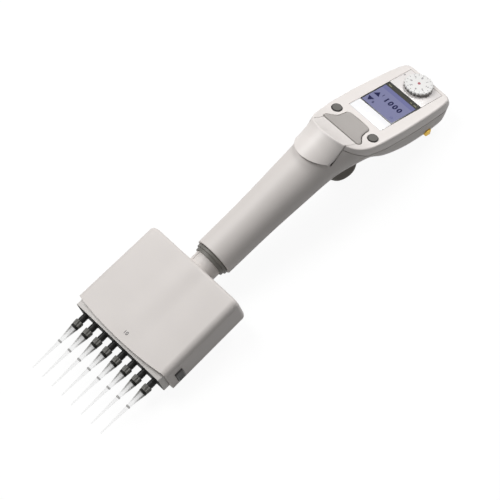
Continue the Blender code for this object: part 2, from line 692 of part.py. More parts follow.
def build_lower_inside(kit):
    """Make what the lower housing holds: the plates, the piston carrier and the ejector's comb."""
    low = (-PLATE_HALF_WIDTH, PLATE_FRONT, CONE_PLATE_BOTTOM)
    high = (PLATE_HALF_WIDTH, PLATE_BACK, CONE_PLATE_TOP)
    pierced_plate(kit, "cone_plate", low, high, CONE_BODY_RADIUS + GAP, kit.black)
    low = (-PLATE_HALF_WIDTH, PLATE_FRONT, RETAINER_BOTTOM)
    high = (PLATE_HALF_WIDTH, PLATE_BACK, RETAINER_TOP)
    pierced_plate(kit, "cone_retainer", low, high, CONE_STUB_RADIUS + GAP, kit.shell)
    low = (-PLATE_HALF_WIDTH, -CARRIER_HALF_DEPTH, CARRIER_BOTTOM)
    high = (PLATE_HALF_WIDTH, CARRIER_HALF_DEPTH, CARRIER_TOP)
    kit.add("piston_carrier", block(low, high), kit.steel)

    comb_hole = CONE_RADIUS + COMB_HOLE_CLEARANCE
    low = (-COMB_HALF_WIDTH, COMB_FRONT, COMB_BOTTOM)
    high = (COMB_HALF_WIDTH, COMB_BACK, COMB_TOP)
    comb = pierced_plate(kit, "ejector_comb", low, high, comb_hole, kit.shell)
    for side in (-1, 1):
        edges = sorted((side * COMB_ARM_INNER, side * COMB_ARM_OUTER))
        low = (edges[0], COMB_ARM_FRONT, COMB_TOP - BITE)
        high = (edges[1], COMB_ARM_BACK, YOKE_BOTTOM - GAP)
        combine(comb, kit.tool(f"comb_arm_{side}", block(low, high)), "UNION")
    low = (-COMB_ARM_OUTER, -YOKE_HALF_DEPTH, YOKE_BOTTOM)
    high = (COMB_ARM_OUTER, YOKE_HALF_DEPTH, YOKE_TOP)
    pierced_plate(kit, "ejector_yoke", low, high, 0.0, kit.shell, ROD_RADIUS + 2 * GAP)


def build_lower_housing(kit):
    """Make the two shells of the lower housing and the latches in their sides."""
    shoulder = HOUSING_TOP - HOUSING_EDGE
    levels = [HOUSING_BOTTOM - HOUSING_BOW, HOUSING_BOTTOM, HOUSING_BOTTOM + CUT_PAST]
    levels += [HOUSING_MIDDLE, shoulder]
    levels += [HOUSING_TOP - HOUSING_EDGE * share for share in (0.6, 0.3, 0.1, 0.0)]
    inner_levels = [HOUSING_BOTTOM - HOUSING_BOW - CUT_PAST, HOUSING_MIDDLE, HOUSING_TOP - WALL]
    room = kit.tool("housing_room", loft([housing_ring(z, WALL) for z in inner_levels]))
    neck_room = rod(NECK_RADIUS + GAP, shoulder - HOUSING_EDGE, HOUSING_TOP + CUT_PAST)
    hole = kit.tool("housing_neck_hole", neck_room)
    bow = [(-FAR, 0.0), (FAR, 0.0), (FAR, HOUSING_BOTTOM)]
    for step in range(12, -13, -1):
        share = step / 12
        drop = HOUSING_BOW * (1 - share * share) ** HOUSING_BOW_POWER
        bow.append((HOUSING_HALF_WIDTH_BOTTOM * share, HOUSING_BOTTOM - drop))
    bow.append((-FAR, HOUSING_BOTTOM))
    below = kit.tool("housing_bow", loft([[Vector((x, y, z)) for x, z in bow] for y in (-FAR, FAR)]))
    flat = kit.tool("housing_back_trim", block((-FAR, -FAR, 0.0), (FAR, FAR, HOUSING_BOTTOM)))
    rooms = (
        ("lower_front_shell", (-FAR, HOUSING_SEAM - GAP / 2, 0.0), (FAR, FAR, FAR), below),
        ("lower_back_shell", (-FAR, -FAR, 0.0), (FAR, HOUSING_SEAM + GAP / 2, FAR), flat),
    )
    slots = []
    for side, word in ((-1, "left"), (1, "right")):
        outer = HOUSING_HALF_WIDTH_BOTTOM + LATCH_PROUD
        edges = sorted((side * (outer - LATCH_DEPTH), side * outer))
        low = (edges[0], LATCH_FRONT, LATCH_BOTTOM)
        high = (edges[1], LATCH_BACK, LATCH_BOTTOM + LATCH_HEIGHT)
        kit.add(f"{word}_latch", block(low, high), kit.dark)
        room_end = LATCH_TRAVEL + GAP
        low = (edges[0] - room_end, LATCH_FRONT - GAP, LATCH_BOTTOM - GAP)
        high = (edges[1] + room_end, LATCH_BACK + GAP, LATCH_BOTTOM + LATCH_HEIGHT + GAP)
        slots.append(kit.tool(f"{word}_latch_slot", block(low, high)))
    for name, low, high, trim in rooms:
        shell = kit.add(name, loft([housing_ring(z) for z in levels]), kit.shell)
        combine(shell, room)
        combine(shell, hole)
        combine(shell, kit.tool(f"{name}_other_half", block(low, high)))
        combine(shell, trim)
        if name == "lower_front_shell":
            for slot in slots:
                combine(shell, slot)


def build_neck(kit):
    """Make the neck that swivels in the handle, its ring, the ejector's sleeve and its spring."""
    neck = (
        (0.0, NECK_FLANGE_BOTTOM), (NECK_RADIUS, NECK_FLANGE_BOTTOM), (NECK_RADIUS, NECK_COLLAR_BOTTOM),
        (NECK_COLLAR_RADIUS, NECK_COLLAR_BOTTOM), (NECK_COLLAR_RADIUS, NECK_TOP), (0.0, NECK_TOP),
    )
    tube = kit.add("neck_tube", turned(neck), kit.shell)
    low = (-NECK_FLANGE_HALF_WIDTH, -NECK_FLANGE_HALF_DEPTH, NECK_FLANGE_BOTTOM)
    high = (NECK_FLANGE_HALF_WIDTH, NECK_FLANGE_HALF_DEPTH, NECK_FLANGE_TOP)
    combine(tube, kit.tool("neck_flange", block(low, high)), "UNION")
    bore = rod(NECK_RADIUS - NECK_WALL, NECK_FLANGE_BOTTOM - CUT_PAST, NECK_TOP + CUT_PAST)
    combine(tube, kit.tool("neck_bore", bore))
    neck_fit = NECK_RADIUS + GAP
    seat = BODY_STATIONS[0][1] - WALL - GAP
    ring = (
        (neck_fit, MOUTH - RING_FIRST_DROP), (RING_FIRST_STEP, MOUTH - RING_FIRST_DROP),
        (RING_FIRST_STEP, MOUTH - RING_SECOND_DROP), (RING_SECOND_STEP, MOUTH - RING_SECOND_DROP),
        (RING_SECOND_STEP, MOUTH - GAP), (seat, MOUTH - GAP), (seat, RING_TOP), (neck_fit, RING_TOP),
    )
    kit.add("coupling_ring", turned(ring), kit.grey)
    sleeve = (
        (SLEEVE_RADIUS - SLEEVE_WALL, YOKE_TOP + GAP), (SLEEVE_RADIUS, YOKE_TOP + GAP),
        (SLEEVE_RADIUS, SLEEVE_FLANGE_BOTTOM), (SLEEVE_FLANGE_RADIUS, SLEEVE_FLANGE_BOTTOM),
        (SLEEVE_FLANGE_RADIUS, SLEEVE_TOP), (SLEEVE_RADIUS - SLEEVE_WALL, SLEEVE_TOP),
    )
    kit.add("ejector_sleeve", turned(sleeve), kit.shell)
    kit.add("ejector_spring", coil(), kit.steel)


def coil():
    """Wind the ejector's spring between the neck's top and the sleeve's flange."""
    bottom = NECK_TOP + GAP + SPRING_WIRE
    top = SLEEVE_FLANGE_BOTTOM - GAP - SPRING_WIRE
    count = SPRING_TURNS * SPRING_STEPS
    rings = []
    for step in range(count + 1):
        share = step / count
        angle = 2 * math.pi * SPRING_TURNS * share
        outwards = Vector((math.cos(angle), math.sin(angle), 0.0))
        centre = outwards * SPRING_RADIUS + Vector((0, 0, bottom + (top - bottom) * share))
        ring = []
        for side in range(SPRING_SIDES):
            turn = 2 * math.pi * side / SPRING_SIDES
            upwards = Vector((0, 0, SPRING_WIRE * math.sin(turn)))
            ring.append(centre + outwards * SPRING_WIRE * math.cos(turn) + upwards)
        rings.append(ring)
    return loft(rings)


def build_drive(kit):
    """Make the motor, its bracket, the lead screw, the drive rod and the ejector's rod."""
    seat_radius = smooth_row(BODY_STATIONS, BRACKET_BOTTOM)[0] - WALL - GAP
    bracket = (
        (SCREW_HUB_RADIUS + GAP, BRACKET_BOTTOM), (seat_radius, BRACKET_BOTTOM),
        (seat_radius, BRACKET_TOP), (SCREW_HUB_RADIUS + GAP, BRACKET_TOP),
    )
    plate = kit.add("motor_bracket", turned(bracket), kit.grey)
    notch = block(
        (-EJECTOR_ROD_RADIUS - GAP, -FAR, BRACKET_BOTTOM - CUT_PAST),
        (EJECTOR_ROD_RADIUS + GAP, EJECTOR_ROD_Y + EJECTOR_ROD_RADIUS + GAP, BRACKET_TOP + CUT_PAST),
    )
    combine(plate, kit.tool("bracket_notch", notch))
    boss_top = MOTOR_TOP + MOTOR_BOSS_HEIGHT
    motor = (
        (0.0, MOTOR_BOTTOM), (MOTOR_RADIUS, MOTOR_BOTTOM), (MOTOR_RADIUS, MOTOR_TOP),
        (MOTOR_BOSS_RADIUS, MOTOR_TOP), (MOTOR_BOSS_RADIUS, boss_top), (0.0, boss_top),
    )
    kit.add("drive_motor", turned(motor), kit.steel)
    screw_end = NUT_BOTTOM - SCREW_END_MARGIN
    screw = (
        (0.0, screw_end), (SCREW_RADIUS, screw_end), (SCREW_RADIUS, BRACKET_BOTTOM - GAP),
        (SCREW_HUB_RADIUS, BRACKET_BOTTOM), (SCREW_HUB_RADIUS, MOTOR_BOTTOM - GAP),
        (0.0, MOTOR_BOTTOM - GAP),
    )
    kit.add("lead_screw", turned(screw, facets=SMALL_FACETS), kit.steel)
    bottom = CARRIER_TOP + GAP
    drive = (
        (0.0, bottom), (ROD_RADIUS, bottom), (ROD_RADIUS, NUT_BOTTOM), (NUT_RADIUS, NUT_BOTTOM),
        (NUT_RADIUS, NUT_TOP), (ROD_BORE_RADIUS, NUT_TOP), (ROD_BORE_RADIUS, NUT_TOP - ROD_BORE_DEPTH),
        (0.0, NUT_TOP - ROD_BORE_DEPTH),
    )
    kit.add("drive_rod", turned(drive, facets=SMALL_FACETS), kit.steel)
    v = SHELF_START
    under = face_point(0, v, -BUTTON_SHELF)
    while under.y > EJECTOR_ROD_Y - EJECTOR_ROD_RADIUS:
        v -= SHELF_SEARCH_STEP
        under = face_point(0, v, shelf_lift(v) - BUTTON_SHELF)
    piece = rod(EJECTOR_ROD_RADIUS, SLEEVE_TOP + GAP, under.z - GAP, 0.0, EJECTOR_ROD_Y, TINY_FACETS)
    kit.add("ejector_rod", piece, kit.steel)


def build_button(kit):
    """Make the ejector button, a thumb shelf with a shroud and side walls round the handle's front.

    Its inside clears the handle's front shell, over which the shroud slides as it is pressed.
    """
    outer = [(radius, HEAD_BASE + height) for height, radius in BUTTON_OUTER]
    shroud = turned([(0.0, outer[0][1])] + outer + [(0.0, outer[-1][1])])
    button = kit.add("ejector_button", shroud, kit.shell)
    outline = shelf_line(BUTTON_TOP, 0.0)
    for y in (outline[-1][0], BUTTON_BACK_Y):
        outline.append((y, HEAD_BASE + BUTTON_RIM_HEIGHT + BUTTON_RIM_SLOPE * (y - BUTTON_RIM_Y)))
    combine(button, kit.tool("button_outline", slab_across(outline, BUTTON_HALF_WIDTH)), "INTERSECT")

    inner = [(radius - BUTTON_WALL, z) for radius, z in outer]
    low = (0.0, inner[0][1] - CUT_PAST)
    foot = (inner[0][0], inner[0][1] - CUT_PAST)
    hollow = kit.tool("button_hollow", turned([low, foot] + inner + [(0.0, inner[-1][1])]))
    under = shelf_line(BUTTON_TOP + BUTTON_SHELF, BUTTON_SHELF)
    under += [(under[-1][0], MOUTH), (FAR, MOUTH), (FAR, under[0][1])]
    half_width = BUTTON_HALF_WIDTH - BUTTON_WALL
    combine(hollow, kit.tool("button_under_shelf", slab_across(under, half_width)), "INTERSECT")
    combine(button, hollow)
    section = smooth_row(BODY_STATIONS, HANDLE_FRONT_TOP)
    clearing = rod(section[0] + GAP, MOUTH, HANDLE_FRONT_TOP + EJECT_STROKE + GAP)
    combine(button, kit.tool("button_clearing", clearing))


def build_shells(kit):
    """Make the head's front shell, the handle's front shell, the rear shell and the battery cover."""
    room = kit.tool("body_room", body_solid(WALL, FACE_WALL))
    behind = kit.tool("behind_seam", slab_across(seam_outline(-GAP / 2, True), FAR))
    in_front = kit.tool("front_of_seam", slab_across(seam_outline(GAP / 2, False), FAR))

    front = kit.add("head_front_shell", body_solid(), kit.shell)
    combine(front, room)
    panel_seat = -PANEL_THICKNESS - GAP
    pocket = face_box(PANEL_HALF_WIDTH + GAP, PANEL_BOTTOM - GAP, PANEL_TOP + GAP, panel_seat, FACE_CUT)
    combine(front, kit.tool("panel_pocket", pocket))
    module_room = MODULE_HALF_HEIGHT + GAP
    opening = face_box(MODULE_HALF_WIDTH + GAP, -module_room, module_room, -FACE_CUT, FACE_CUT)
    combine(front, kit.tool("display_opening", opening))
    hub_room = face_disc(DIAL_HUB_RADIUS + GAP, 0.0, DIAL_HEIGHT, -FACE_CUT, FACE_CUT)
    combine(front, kit.tool("dial_hole", hub_room))
    for side, word in ((-1, "left"), (1, "right")):
        hole = face_disc(KEY_RADIUS + GAP, side * KEY_X, KEY_HEIGHT, -FACE_CUT, FACE_CUT)
        combine(front, kit.tool(f"{word}_key_hole", hole))
    combine(front, kit.tool("rocker_hole", face_slab(rocker_outline(GAP), -FACE_CUT, FACE_CUT)))
    combine(front, in_front, "INTERSECT")
    start = face_point(0, BUTTON_TOP + GAP, -FACE_CUT)
    thumb = [(start.y, start.z)] + shelf_line(BUTTON_TOP + GAP, -FACE_CUT) + [(-FAR, MOUTH), (start.y, MOUTH)]
    combine(front, kit.tool("thumb_gap", slab_across(thumb, BUTTON_HALF_WIDTH + GAP)))

    handle = kit.add("handle_front_shell", body_solid(), kit.shell)
    combine(handle, room)
    combine(handle, behind, "INTERSECT")
    back_half = block((-FAR, HANDLE_SEAM - GAP / 2, 0.0), (FAR, FAR, 2 * FAR))
    combine(handle, kit.tool("handle_back_half", back_half))
    half = BUTTON_HALF_WIDTH + GAP
    slot = block((-half, -FAR, HANDLE_FRONT_TOP), (half, FAR, 2 * FAR))
    combine(handle, kit.tool("button_slot", slot))

    rear = kit.add("rear_shell", body_solid(), kit.shell)
    combine(rear, room)
    combine(rear, behind, "INTERSECT")
    front_half = block((-FAR, -FAR, 0.0), (FAR, HANDLE_SEAM + GAP / 2, 2 * FAR))
    combine(rear, kit.tool("handle_front_half", front_half))
    half_width = COVER_HALF_WIDTH + GAP
    cover_room = face_box(half_width, COVER_BOTTOM - GAP, COVER_TOP + GAP, -FAR, COVER_FRONT + GAP)
    combine(rear, kit.tool("cover_opening", cover_room))
    for side, word in ((-1, "left"), (1, "right")):
        combine(rear, kit.tool(f"{word}_contact_hole", contact(side, GAP)))
        kit.add(f"{word}_charging_contact", contact(side, 0.0), kit.gold)

    cover = kit.add("battery_cover", body_solid(), kit.shell)
    combine(cover, room)
    cover_box = face_box(COVER_HALF_WIDTH, COVER_BOTTOM, COVER_TOP, -FAR, COVER_FRONT)
    combine(cover, kit.tool("cover_outline", cover_box), "INTERSECT")

    rest = kit.add("finger_rest", finger_rest(), kit.dark)
    combine(rest, kit.tool("finger_seat", body_solid(-GAP, -GAP)))


def contact(side, clearance):
    """Make one charging contact, which stands out of the head's side."""
    half = CONTACT_SIZE / 2 + clearance
    centre = face_point(0, CONTACT_HEIGHT, CONTACT_DEPTH)
    wall = smooth_row(BODY_STATIONS, centre.z)[0]
    edges = sorted((side * (wall - CONTACT_REACH - clearance), side * (wall + CONTACT_PROUD + clearance)))
    low = CONTACT_HEIGHT - half
    high = CONTACT_HEIGHT + half
    outline = ((edges[0], low), (edges[1], low), (edges[1], high), (edges[0], high))
    return face_slab(outline, CONTACT_DEPTH - half, CONTACT_DEPTH + half)


def finger_rest():
    """Make the index finger's rest, a rounded lobe that thins towards its two sides."""
    middle = Vector(FINGER_MIDDLE)
    slices = [(-share, shrink) for share, shrink in reversed(FINGER_SHARES)]
    slices += FINGER_SHARES
    rings = []
    for share, shrink in slices:
        places = [middle + (Vector(corner) - middle) * shrink for corner in FINGER_OUTLINE]
        rings.append([Vector((FINGER_HALF_WIDTH * share, y, HEAD_BASE + height)) for y, height in places])
    return loft(rings)


def rocker_outline(grow):
    """Give the rocker's outline anticlockwise, with every edge moved outwards by a clearance."""
    mirrored = [(-x, v) for x, v in ROCKER_OUTLINE[-2:0:-1]]
    corners = [Vector(corner) for corner in (ROCKER_OUTLINE + tuple(mirrored))[::-1]]
    outline = []
    for index, corner in enumerate(corners):
        arriving = (corner - corners[index - 1]).normalized()
        leaving = (corners[(index + 1) % len(corners)] - corner).normalized()
        normal = Vector((arriving.y, -arriving.x))
        bisector = (normal + Vector((leaving.y, -leaving.x))).normalized()
        outline.append(tuple(corner + bisector * (grow / bisector.dot(normal))))
    return outline


def build_face(kit):
    """Make the display, its panels, the keys, the dial and the board behind them."""
    glass = face_box(PANEL_HALF_WIDTH, -WINDOW_HALF_HEIGHT, WINDOW_HALF_HEIGHT, -PANEL_THICKNESS, 0.0)
    kit.add("display_window", glass, kit.glass)
    strip = face_box(PANEL_HALF_WIDTH, PANEL_BOTTOM, -WINDOW_HALF_HEIGHT - GAP / 2, -PANEL_THICKNESS, 0.0)
    kit.add("label_panel", strip, kit.panel)
    upper = kit.add(
        "dial_panel",
        face_box(PANEL_HALF_WIDTH, WINDOW_HALF_HEIGHT + GAP / 2, PANEL_TOP, -PANEL_THICKNESS, 0.0),
        kit.shell,
    )
    combine(upper, bpy.data.objects["dial_hole"])
    module_front = -PANEL_THICKNESS - GAP
    module = face_box(MODULE_HALF_WIDTH, -MODULE_HALF_HEIGHT, MODULE_HALF_HEIGHT, MODULE_BACK, module_front)
    kit.add("display_module", module, kit.black)

    board_front = MODULE_BACK - GAP
    board_seat = board_front - BITE
    slab = face_box(BOARD_HALF_WIDTH, BOARD_BOTTOM, BOARD_TOP, board_front - BOARD_THICKNESS, board_front)
    board = kit.add("main_board", slab, kit.board)
    encoder = face_disc(ENCODER_RADIUS, 0.0, DIAL_HEIGHT - ENCODER_DROP, board_seat, DIAL_HUB_END - GAP)
    combine(board, kit.tool("encoder_body", encoder), "UNION")
    switch_top = -KEY_DEPTH - KEY_TRAVEL - GAP
    for side, word in ((-1, "left"), (1, "right")):
        x = side * (KEY_X - SWITCH_RADIUS)
        switch = face_disc(SWITCH_RADIUS, x, KEY_HEIGHT, board_seat, switch_top, SMALL_FACETS)
        combine(board, kit.tool(f"{word}_key_switch", switch), "UNION")

    battery_front = BATTERY_BACK + BATTERY_THICKNESS
    cell = face_box(BATTERY_HALF_WIDTH, BATTERY_BOTTOM, BATTERY_TOP, BATTERY_BACK, battery_front)
    kit.add("battery", cell, kit.cell)

    outline = []
    for step in range(2 * DIAL_TEETH):
        angle = math.pi * step / DIAL_TEETH
        radius = DIAL_RADIUS if step % 2 else DIAL_RADIUS - DIAL_NOTCH
        outline.append((radius * math.cos(angle), DIAL_HEIGHT + radius * math.sin(angle)))
    dial = kit.add("selection_dial", face_slab(outline, DIAL_LIFT, DIAL_LIFT + DIAL_THICKNESS), kit.panel)
    hub = face_disc(DIAL_HUB_RADIUS, 0.0, DIAL_HEIGHT, DIAL_HUB_END, DIAL_LIFT + BITE)
    combine(dial, kit.tool("dial_hub", hub), "UNION")

    for side, word in ((-1, "left"), (1, "right")):
        key = face_disc(KEY_RADIUS, side * KEY_X, KEY_HEIGHT, -KEY_DEPTH, KEY_PROUD)
        kit.add(f"{word}_softkey", key, kit.dark)

    outline = rocker_outline(0.0)
    lower = [face_point(x, v, shelf_lift(v) - ROCKER_DEPTH) for x, v in outline]
    upper_ring = [face_point(x, v, shelf_lift(v) + ROCKER_PROUD) for x, v in outline]
    kit.add("rocker_key", loft([lower, upper_ring]), kit.grey)


def main():
    """Clear the scene and build the pipette."""
    for existing in list(bpy.data.objects):
        bpy.data.objects.remove(existing, do_unlink=True)
    kit = Kit()
    build_channels(kit)
    build_lower_inside(kit)
    build_lower_housing(kit)
    build_neck(kit)
    build_drive(kit)
    build_button(kit)
    build_shells(kit)
    build_face(kit)
    kit.settle()


main()
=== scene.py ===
"""The looks of an electronic eight-channel pipette that lies on its back on a bench.

Lengths are millimetres in the pipette's own frame, as in its solids: x runs along the channel row,
y towards the back of the handle and z up the axis from the tips' ends. Heights called v run up the
sloping display face, and h stands out of it. The bench's matrix turns that frame into the world.
"""
from __future__ import annotations

import logging
import math
from collections.abc import Callable, Iterable, Sequence
from dataclasses import dataclass
from enum import Enum
from typing import Any

import bmesh
import bpy
from bmesh.types import BMesh, BMFace, BMVert
from mathutils import Matrix, Vector

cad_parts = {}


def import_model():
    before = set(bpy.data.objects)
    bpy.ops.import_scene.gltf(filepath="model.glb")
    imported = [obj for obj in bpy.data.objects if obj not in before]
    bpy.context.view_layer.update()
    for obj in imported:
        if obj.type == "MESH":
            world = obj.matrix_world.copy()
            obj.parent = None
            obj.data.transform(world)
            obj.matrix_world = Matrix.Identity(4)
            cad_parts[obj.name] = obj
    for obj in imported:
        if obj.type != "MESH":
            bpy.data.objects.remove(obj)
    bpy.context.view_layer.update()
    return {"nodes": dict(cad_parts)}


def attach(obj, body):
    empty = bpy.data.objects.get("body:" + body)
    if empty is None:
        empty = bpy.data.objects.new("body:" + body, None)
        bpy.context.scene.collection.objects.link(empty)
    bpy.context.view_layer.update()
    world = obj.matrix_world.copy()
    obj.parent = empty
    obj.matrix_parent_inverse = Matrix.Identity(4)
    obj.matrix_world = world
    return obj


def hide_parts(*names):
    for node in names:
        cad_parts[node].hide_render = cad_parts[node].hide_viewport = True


log = logging.getLogger("pipette")

# Two or three numbers: a point, or sizes that belong together
Point = tuple[float, float]
Place = tuple[float, float, float]
Outline = Sequence[Point]

MM = 0.001

# Room between two pieces, the shells' walls, and a length past every side of the pipette
GAP = 0.3
WALL = 1.8
FACE_WALL = 2.5
FAR = 400.0

# How far a cutting tool stands past what it cuts
PAST = 1.0
PAST_FACE = 5.0

# Points nearer than this are one, and faces thinner than a sliver go
MERGE = 0.0005
SLIVER = 0.002

# Width of the patches in which a moulding's colour drifts
CLOUD = 25.0

CHANNELS = 8
PITCH = 9.0
CHANNEL_X = tuple((index - (CHANNELS - 1) / 2) * PITCH for index in range(CHANNELS))
SIDES = ((-1, "left"), (1, "right"))


def linear_colour(code: str) -> tuple[float, float, float, float]:
    """Turn a colour as screens write it into scene light.

    Args:
        code: six hexadecimal digits after a hash.

    Returns:
        Linear red, green, blue and an alpha of one.
    """
    shares = [int(code[start:start + 2], 16) / 255 for start in (1, 3, 5)]
    light = [share / 12.92 if share < 0.04045 else ((share + 0.055) / 1.055) ** 2.4 for share in shares]
    return light[0], light[1], light[2], 1.0


def add_node(
    tree: bpy.types.NodeTree,
    kind: str,
    settings: dict[str, Any] | None = None,
    links: dict[Any, Any] | None = None,
) -> bpy.types.Node:
    """Add a node to a tree.

    Args:
        tree: the tree that it goes into.
        kind: its type's name.
        settings: values by the name of a socket or of a property.
        links: the sockets that feed it, by the name or number of the socket that each feeds.

    Returns:
        The new node.
    """
    node = tree.nodes.new(kind)
    for name, value in (settings or {}).items():
        if name in node.inputs:
            node.inputs[name].default_value = value
        else:
            setattr(node, name, value)
    for name, source in (links or {}).items():
        tree.links.new(source, node.inputs[name])
    return node


@dataclass(frozen=True)
class Bench:
    """How the pipette lies on the bench.

    Attributes:
        angle: how far its axis rises, in radians.
        offset: where the origin of its frame lies, in metres.
        foot_y: the depth of the housing's lower back edge.
        foot_z: that edge's height.
    """

    angle: float = 0.15695044565771576
    offset: Place = (0.0, -0.15230368, 0.00334826)
    foot_y: float = 11.35
    foot_z: float = 50.3

    def matrix(self) -> Matrix:
        """Give the turn from the pipette's millimetres into the world's metres."""
        turn = Matrix.Rotation(self.angle - math.pi / 2, 4, "X")
        return Matrix.Translation(Vector(self.offset)) @ turn @ Matrix.Scale(MM, 4)

    def depth_at(self, z: float) -> float:
        """Give the y of the bench's surface at a height on the pipette."""
        return self.foot_y + (z - self.foot_z) * math.tan(self.angle)


BENCH = Bench()


@dataclass(frozen=True)
class Finish:
    """What one surface looks like.

    Attributes:
        name: the real material and how its surface was made.
        colour: its colour, as screens write it.
        roughness: how matt it is.
        ior: its index of refraction.
        metallic: one for bare metal.
        grain: the width and the depth of its fine texture.
        wander: how far its colour drifts, as a share.
        coat: how strong a clear coat it has.
        shine: how strongly it mirrors, as a share of one where the usual is a half.
        stretch: how far the texture is drawn out along x, y and z.
        clear: how much it hides where it faces the eye, or nothing where it is solid.
        shade: heights on the pipette between which a painted shade darkens a clear wall.
        glow: how strongly it shines by itself.
    """

    name: str
    colour: str
    roughness: float
    ior: float = 1.5
    metallic: float = 0.0
    grain: Point = (0.5, 0.012)
    wander: float = 0.02
    coat: float = 0.0
    shine: float = 0.5
    stretch: Place = (1.0, 1.0, 1.0)
    clear: float | None = None
    shade: Point | None = None
    glow: float = 0.0

    def material(self) -> bpy.types.Material:
        """Make the material from nodes.

        Returns:
            The new material.
        """
        material = bpy.data.materials.new(self.name)
        material.use_nodes = True
        tree = material.node_tree
        shader = tree.nodes["Principled BSDF"]
        place = add_node(tree, "ShaderNodeTexCoord").outputs["Object"]
        drawn_out = {"Scale": self.stretch}
        drawn = add_node(tree, "ShaderNodeMapping", drawn_out, {"Vector": place}).outputs["Vector"]

        # A mould's real grain is about 0.05 mm wide. It is drawn ten times as coarse, so that it shows
        width, depth = self.grain
        noise = {"Scale": 1 / (width * MM), "Detail": 3.0}
        grain = add_node(tree, "ShaderNodeTexNoise", noise, {"Vector": drawn}).outputs["Fac"]
        relief = {"Strength": 0.5, "Distance": depth * MM}
        bump = add_node(tree, "ShaderNodeBump", relief, {"Height": grain})
        tree.links.new(bump.outputs["Normal"], shader.inputs["Normal"])
        span = {"To Min": max(self.roughness - 0.04, 0.02), "To Max": self.roughness + 0.04}
        polish = add_node(tree, "ShaderNodeMapRange", span, {"Value": grain})
        tree.links.new(polish.outputs["Result"], shader.inputs["Roughness"])

        patches = {"Scale": 1 / (CLOUD * MM), "Detail": 2.0}
        cloud = add_node(tree, "ShaderNodeTexNoise", patches, {"Vector": place})
        tint = add_node(tree, "ShaderNodeValToRGB", None, {"Fac": cloud.outputs["Fac"]})
        base = linear_colour(self.colour)
        for stop, position, share in zip(
            tint.color_ramp.elements, (0.3, 0.7), (1 - self.wander, 1 + self.wander)
        ):
            stop.position = position
            stop.color = (*(min(light * share, 1.0) for light in base[:3]), 1.0)
        tree.links.new(tint.outputs["Color"], shader.inputs["Base Color"])

        shader.inputs["IOR"].default_value = self.ior
        shader.inputs["Metallic"].default_value = self.metallic
        shader.inputs["Specular IOR Level"].default_value = self.shine
        shader.inputs["Coat Weight"].default_value = self.coat
        shader.inputs["Coat Roughness"].default_value = 0.1
        if self.glow:
            shader.inputs["Emission Color"].default_value = base
            shader.inputs["Emission Strength"].default_value = self.glow
        if self.clear is not None:
            tree.links.new(self._cover(tree, place), shader.inputs["Alpha"])
        return material

    def _cover(self, tree: bpy.types.NodeTree, place: bpy.types.NodeSocket) -> bpy.types.NodeSocket:
        """Give how much a clear wall hides: more where it is seen edge on, and along a painted shade.

        Args:
            tree: the material's nodes.
            place: the socket with the object's coordinates.

        Returns:
            The socket with that share.
        """
        facing = add_node(tree, "ShaderNodeLayerWeight", {"Blend": 0.35}).outputs["Facing"]
        most = min(self.clear + 0.5, 1.0)
        span = {"From Min": 0.35, "From Max": 1.0, "To Min": self.clear, "To Max": most}
        edge = add_node(tree, "ShaderNodeMapRange", span, {"Value": facing}).outputs["Result"]
        if self.shade is None:
            return edge
        # Painted shade: a brown-grey band under the collar, stronger towards the tip's sides, standing in
        # for the dark of the collar bent through the clear wall
        axis = Vector((0.0, math.cos(BENCH.angle), math.sin(BENCH.angle)))
        along = add_node(tree, "ShaderNodeVectorMath", {"operation": "DOT_PRODUCT"}, {0: place})
        along.inputs[1].default_value = axis
        foot, top = (height * MM + axis.dot(Vector(BENCH.offset)) for height in self.shade)
        span = {"From Min": foot, "From Max": top, "To Min": 0.0, "To Max": 0.9}
        height = along.outputs["Value"]
        painted_shade_rise = add_node(tree, "ShaderNodeMapRange", span, {"Value": height}).outputs["Result"]
        span = {"From Min": 0.05, "From Max": 0.4, "To Min": 0.2, "To Max": 1.0}
        sides = add_node(tree, "ShaderNodeMapRange", span, {"Value": facing}).outputs["Result"]
        times = {"operation": "MULTIPLY"}
        painted_shade_streak = add_node(tree, "ShaderNodeMath", times, {0: painted_shade_rise, 1: sides}).outputs["Value"]
        larger = {"operation": "MAXIMUM"}
        return add_node(tree, "ShaderNodeMath", larger, {0: edge, 1: painted_shade_streak}).outputs["Value"]


